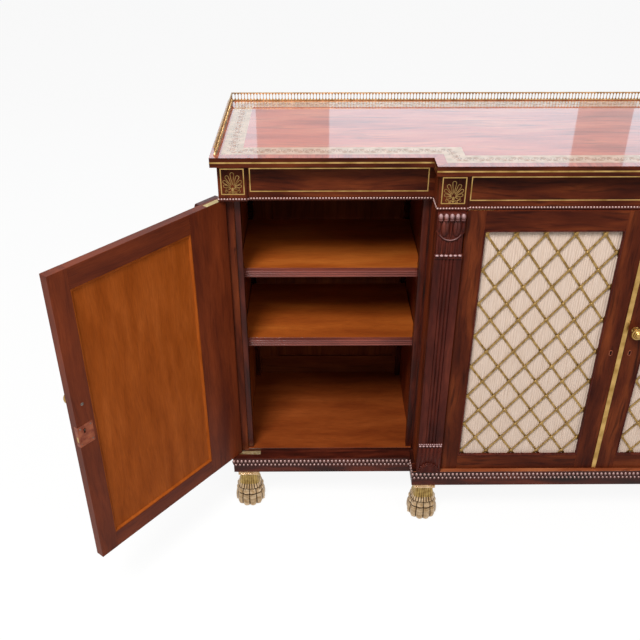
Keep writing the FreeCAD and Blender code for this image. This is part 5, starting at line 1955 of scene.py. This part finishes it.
def dress_shelves(edge: float = 2.0 * MM, crest: float = 0.5 * MM, painted_sheen: float = 0.2) -> None:
    """Remake the six shelves in cedar with a polished, reeded front edge whose crests carry a
    painted highlight.

    Args:
        edge: depth of the polished edge, in metres.
        crest: depth of the crests of its reeds that get the painted highlight, in metres.
        painted_sheen: strength of the painted highlight.
    """
    for node in ("shelf_%s_%s" % (bay, level) for bay in ("left", "centre", "right")
                 for level in ("lower", "upper")):
        shelf = Joinery.boards(node, (CEDAR_SHELF, REEDED_MAHOGANY))
        front = min(vertex.co.y for vertex in shelf.data.vertices)
        # Painted highlight on the front crests of the reeded edge.
        Bench.mark(shelf, PAINTED_HIGHLIGHT, [painted_sheen * max(0.0, 1.0 - (vertex.co.y - front) / crest)
                                for vertex in shelf.data.vertices])
        for polygon in shelf.data.polygons:
            polygon.material_index = int(polygon.center.y < front + edge)
        finish_piece(shelf, node, Slot.MAHOGANY, node)


def dress_metal() -> None:
    """Give the metal nodes that keep their own shape their finish."""
    for name, node in frame["nodes"].items():
        if name == "fixed_hinge_plates":
            # Painted brightness: the pale plate brass stands against the shade on the plinth.
            Bench.painted(node, PLATE_BRASS)
        elif "bolt" in name or name == "brass_stringing":
            Bench.painted(node, BRASS)


def dress_door(door: DoorLeaf) -> None:
    """Remake every piece of one door."""
    body = door.body
    angle = math.degrees(door.place().to_euler().z) if door.left_half else 0.0
    outwards = turn(angle, "Z").to_3x3() @ Vector((0.0, -1.0, 0.0))
    for part, slot, finishes, grain, second in (
            ("_frame", Slot.ROSEWOOD, (RED_MAHOGANY, ROSEWOOD), Grain.LONGEST,
             lambda polygon: polygon.normal.dot(outwards) > 0.9),
            ("_moulding", Slot.ROSEWOOD, (CARVED_ROSEWOOD,), Grain.LONGEST, None),
            ("_backing", Slot.MAHOGANY, (CEDAR,), Grain.UPRIGHT, None)):
        Joinery.replace(body + part, body, slot, finishes, grain, angle, second)
    Grille().build(door)
    DoorBrass().build(door)
    if door.wing:
        place = door.place() @ shift(WING_PILASTER_X, PLAN.door_setback, 0.0)
        PilasterCarving().build(body + "_carved_pilaster", body + "_pilaster", body, place,
                                (PLAN.door_bottom, PLAN.door_top), angle)


# Middles of the left wing door's pilaster and of the left fixed one.
WING_PILASTER_X = -805.5
CENTRE_PILASTER_X = -387.5


def main() -> None:
    """Build the looks of the cabinet, part by part."""
    logging.basicConfig(level=logging.INFO, format="%(name)s: %(message)s")
    Studio().build()
    dress_carcase()
    dress_shelves()
    dress_metal()
    TopSurface().build()
    let_in_palmettes()
    Beading().build()
    Gallery().build()
    for side, node in ((1.0, "centre_pilaster_left"), (-1.0, "centre_pilaster_right")):
        place = PLAN.place() @ shift(side * CENTRE_PILASTER_X, PLAN.centre_front, 0.0)
        PilasterCarving().build("carved_" + node, node, "carcase", place,
                                (PLAN.plinth_top, PLAN.frieze_bottom))
    LionPaws().build()
    for door in DOORS:
        dress_door(door)
    fix_meeting_strip()


if __name__ == "__main__":
    main()
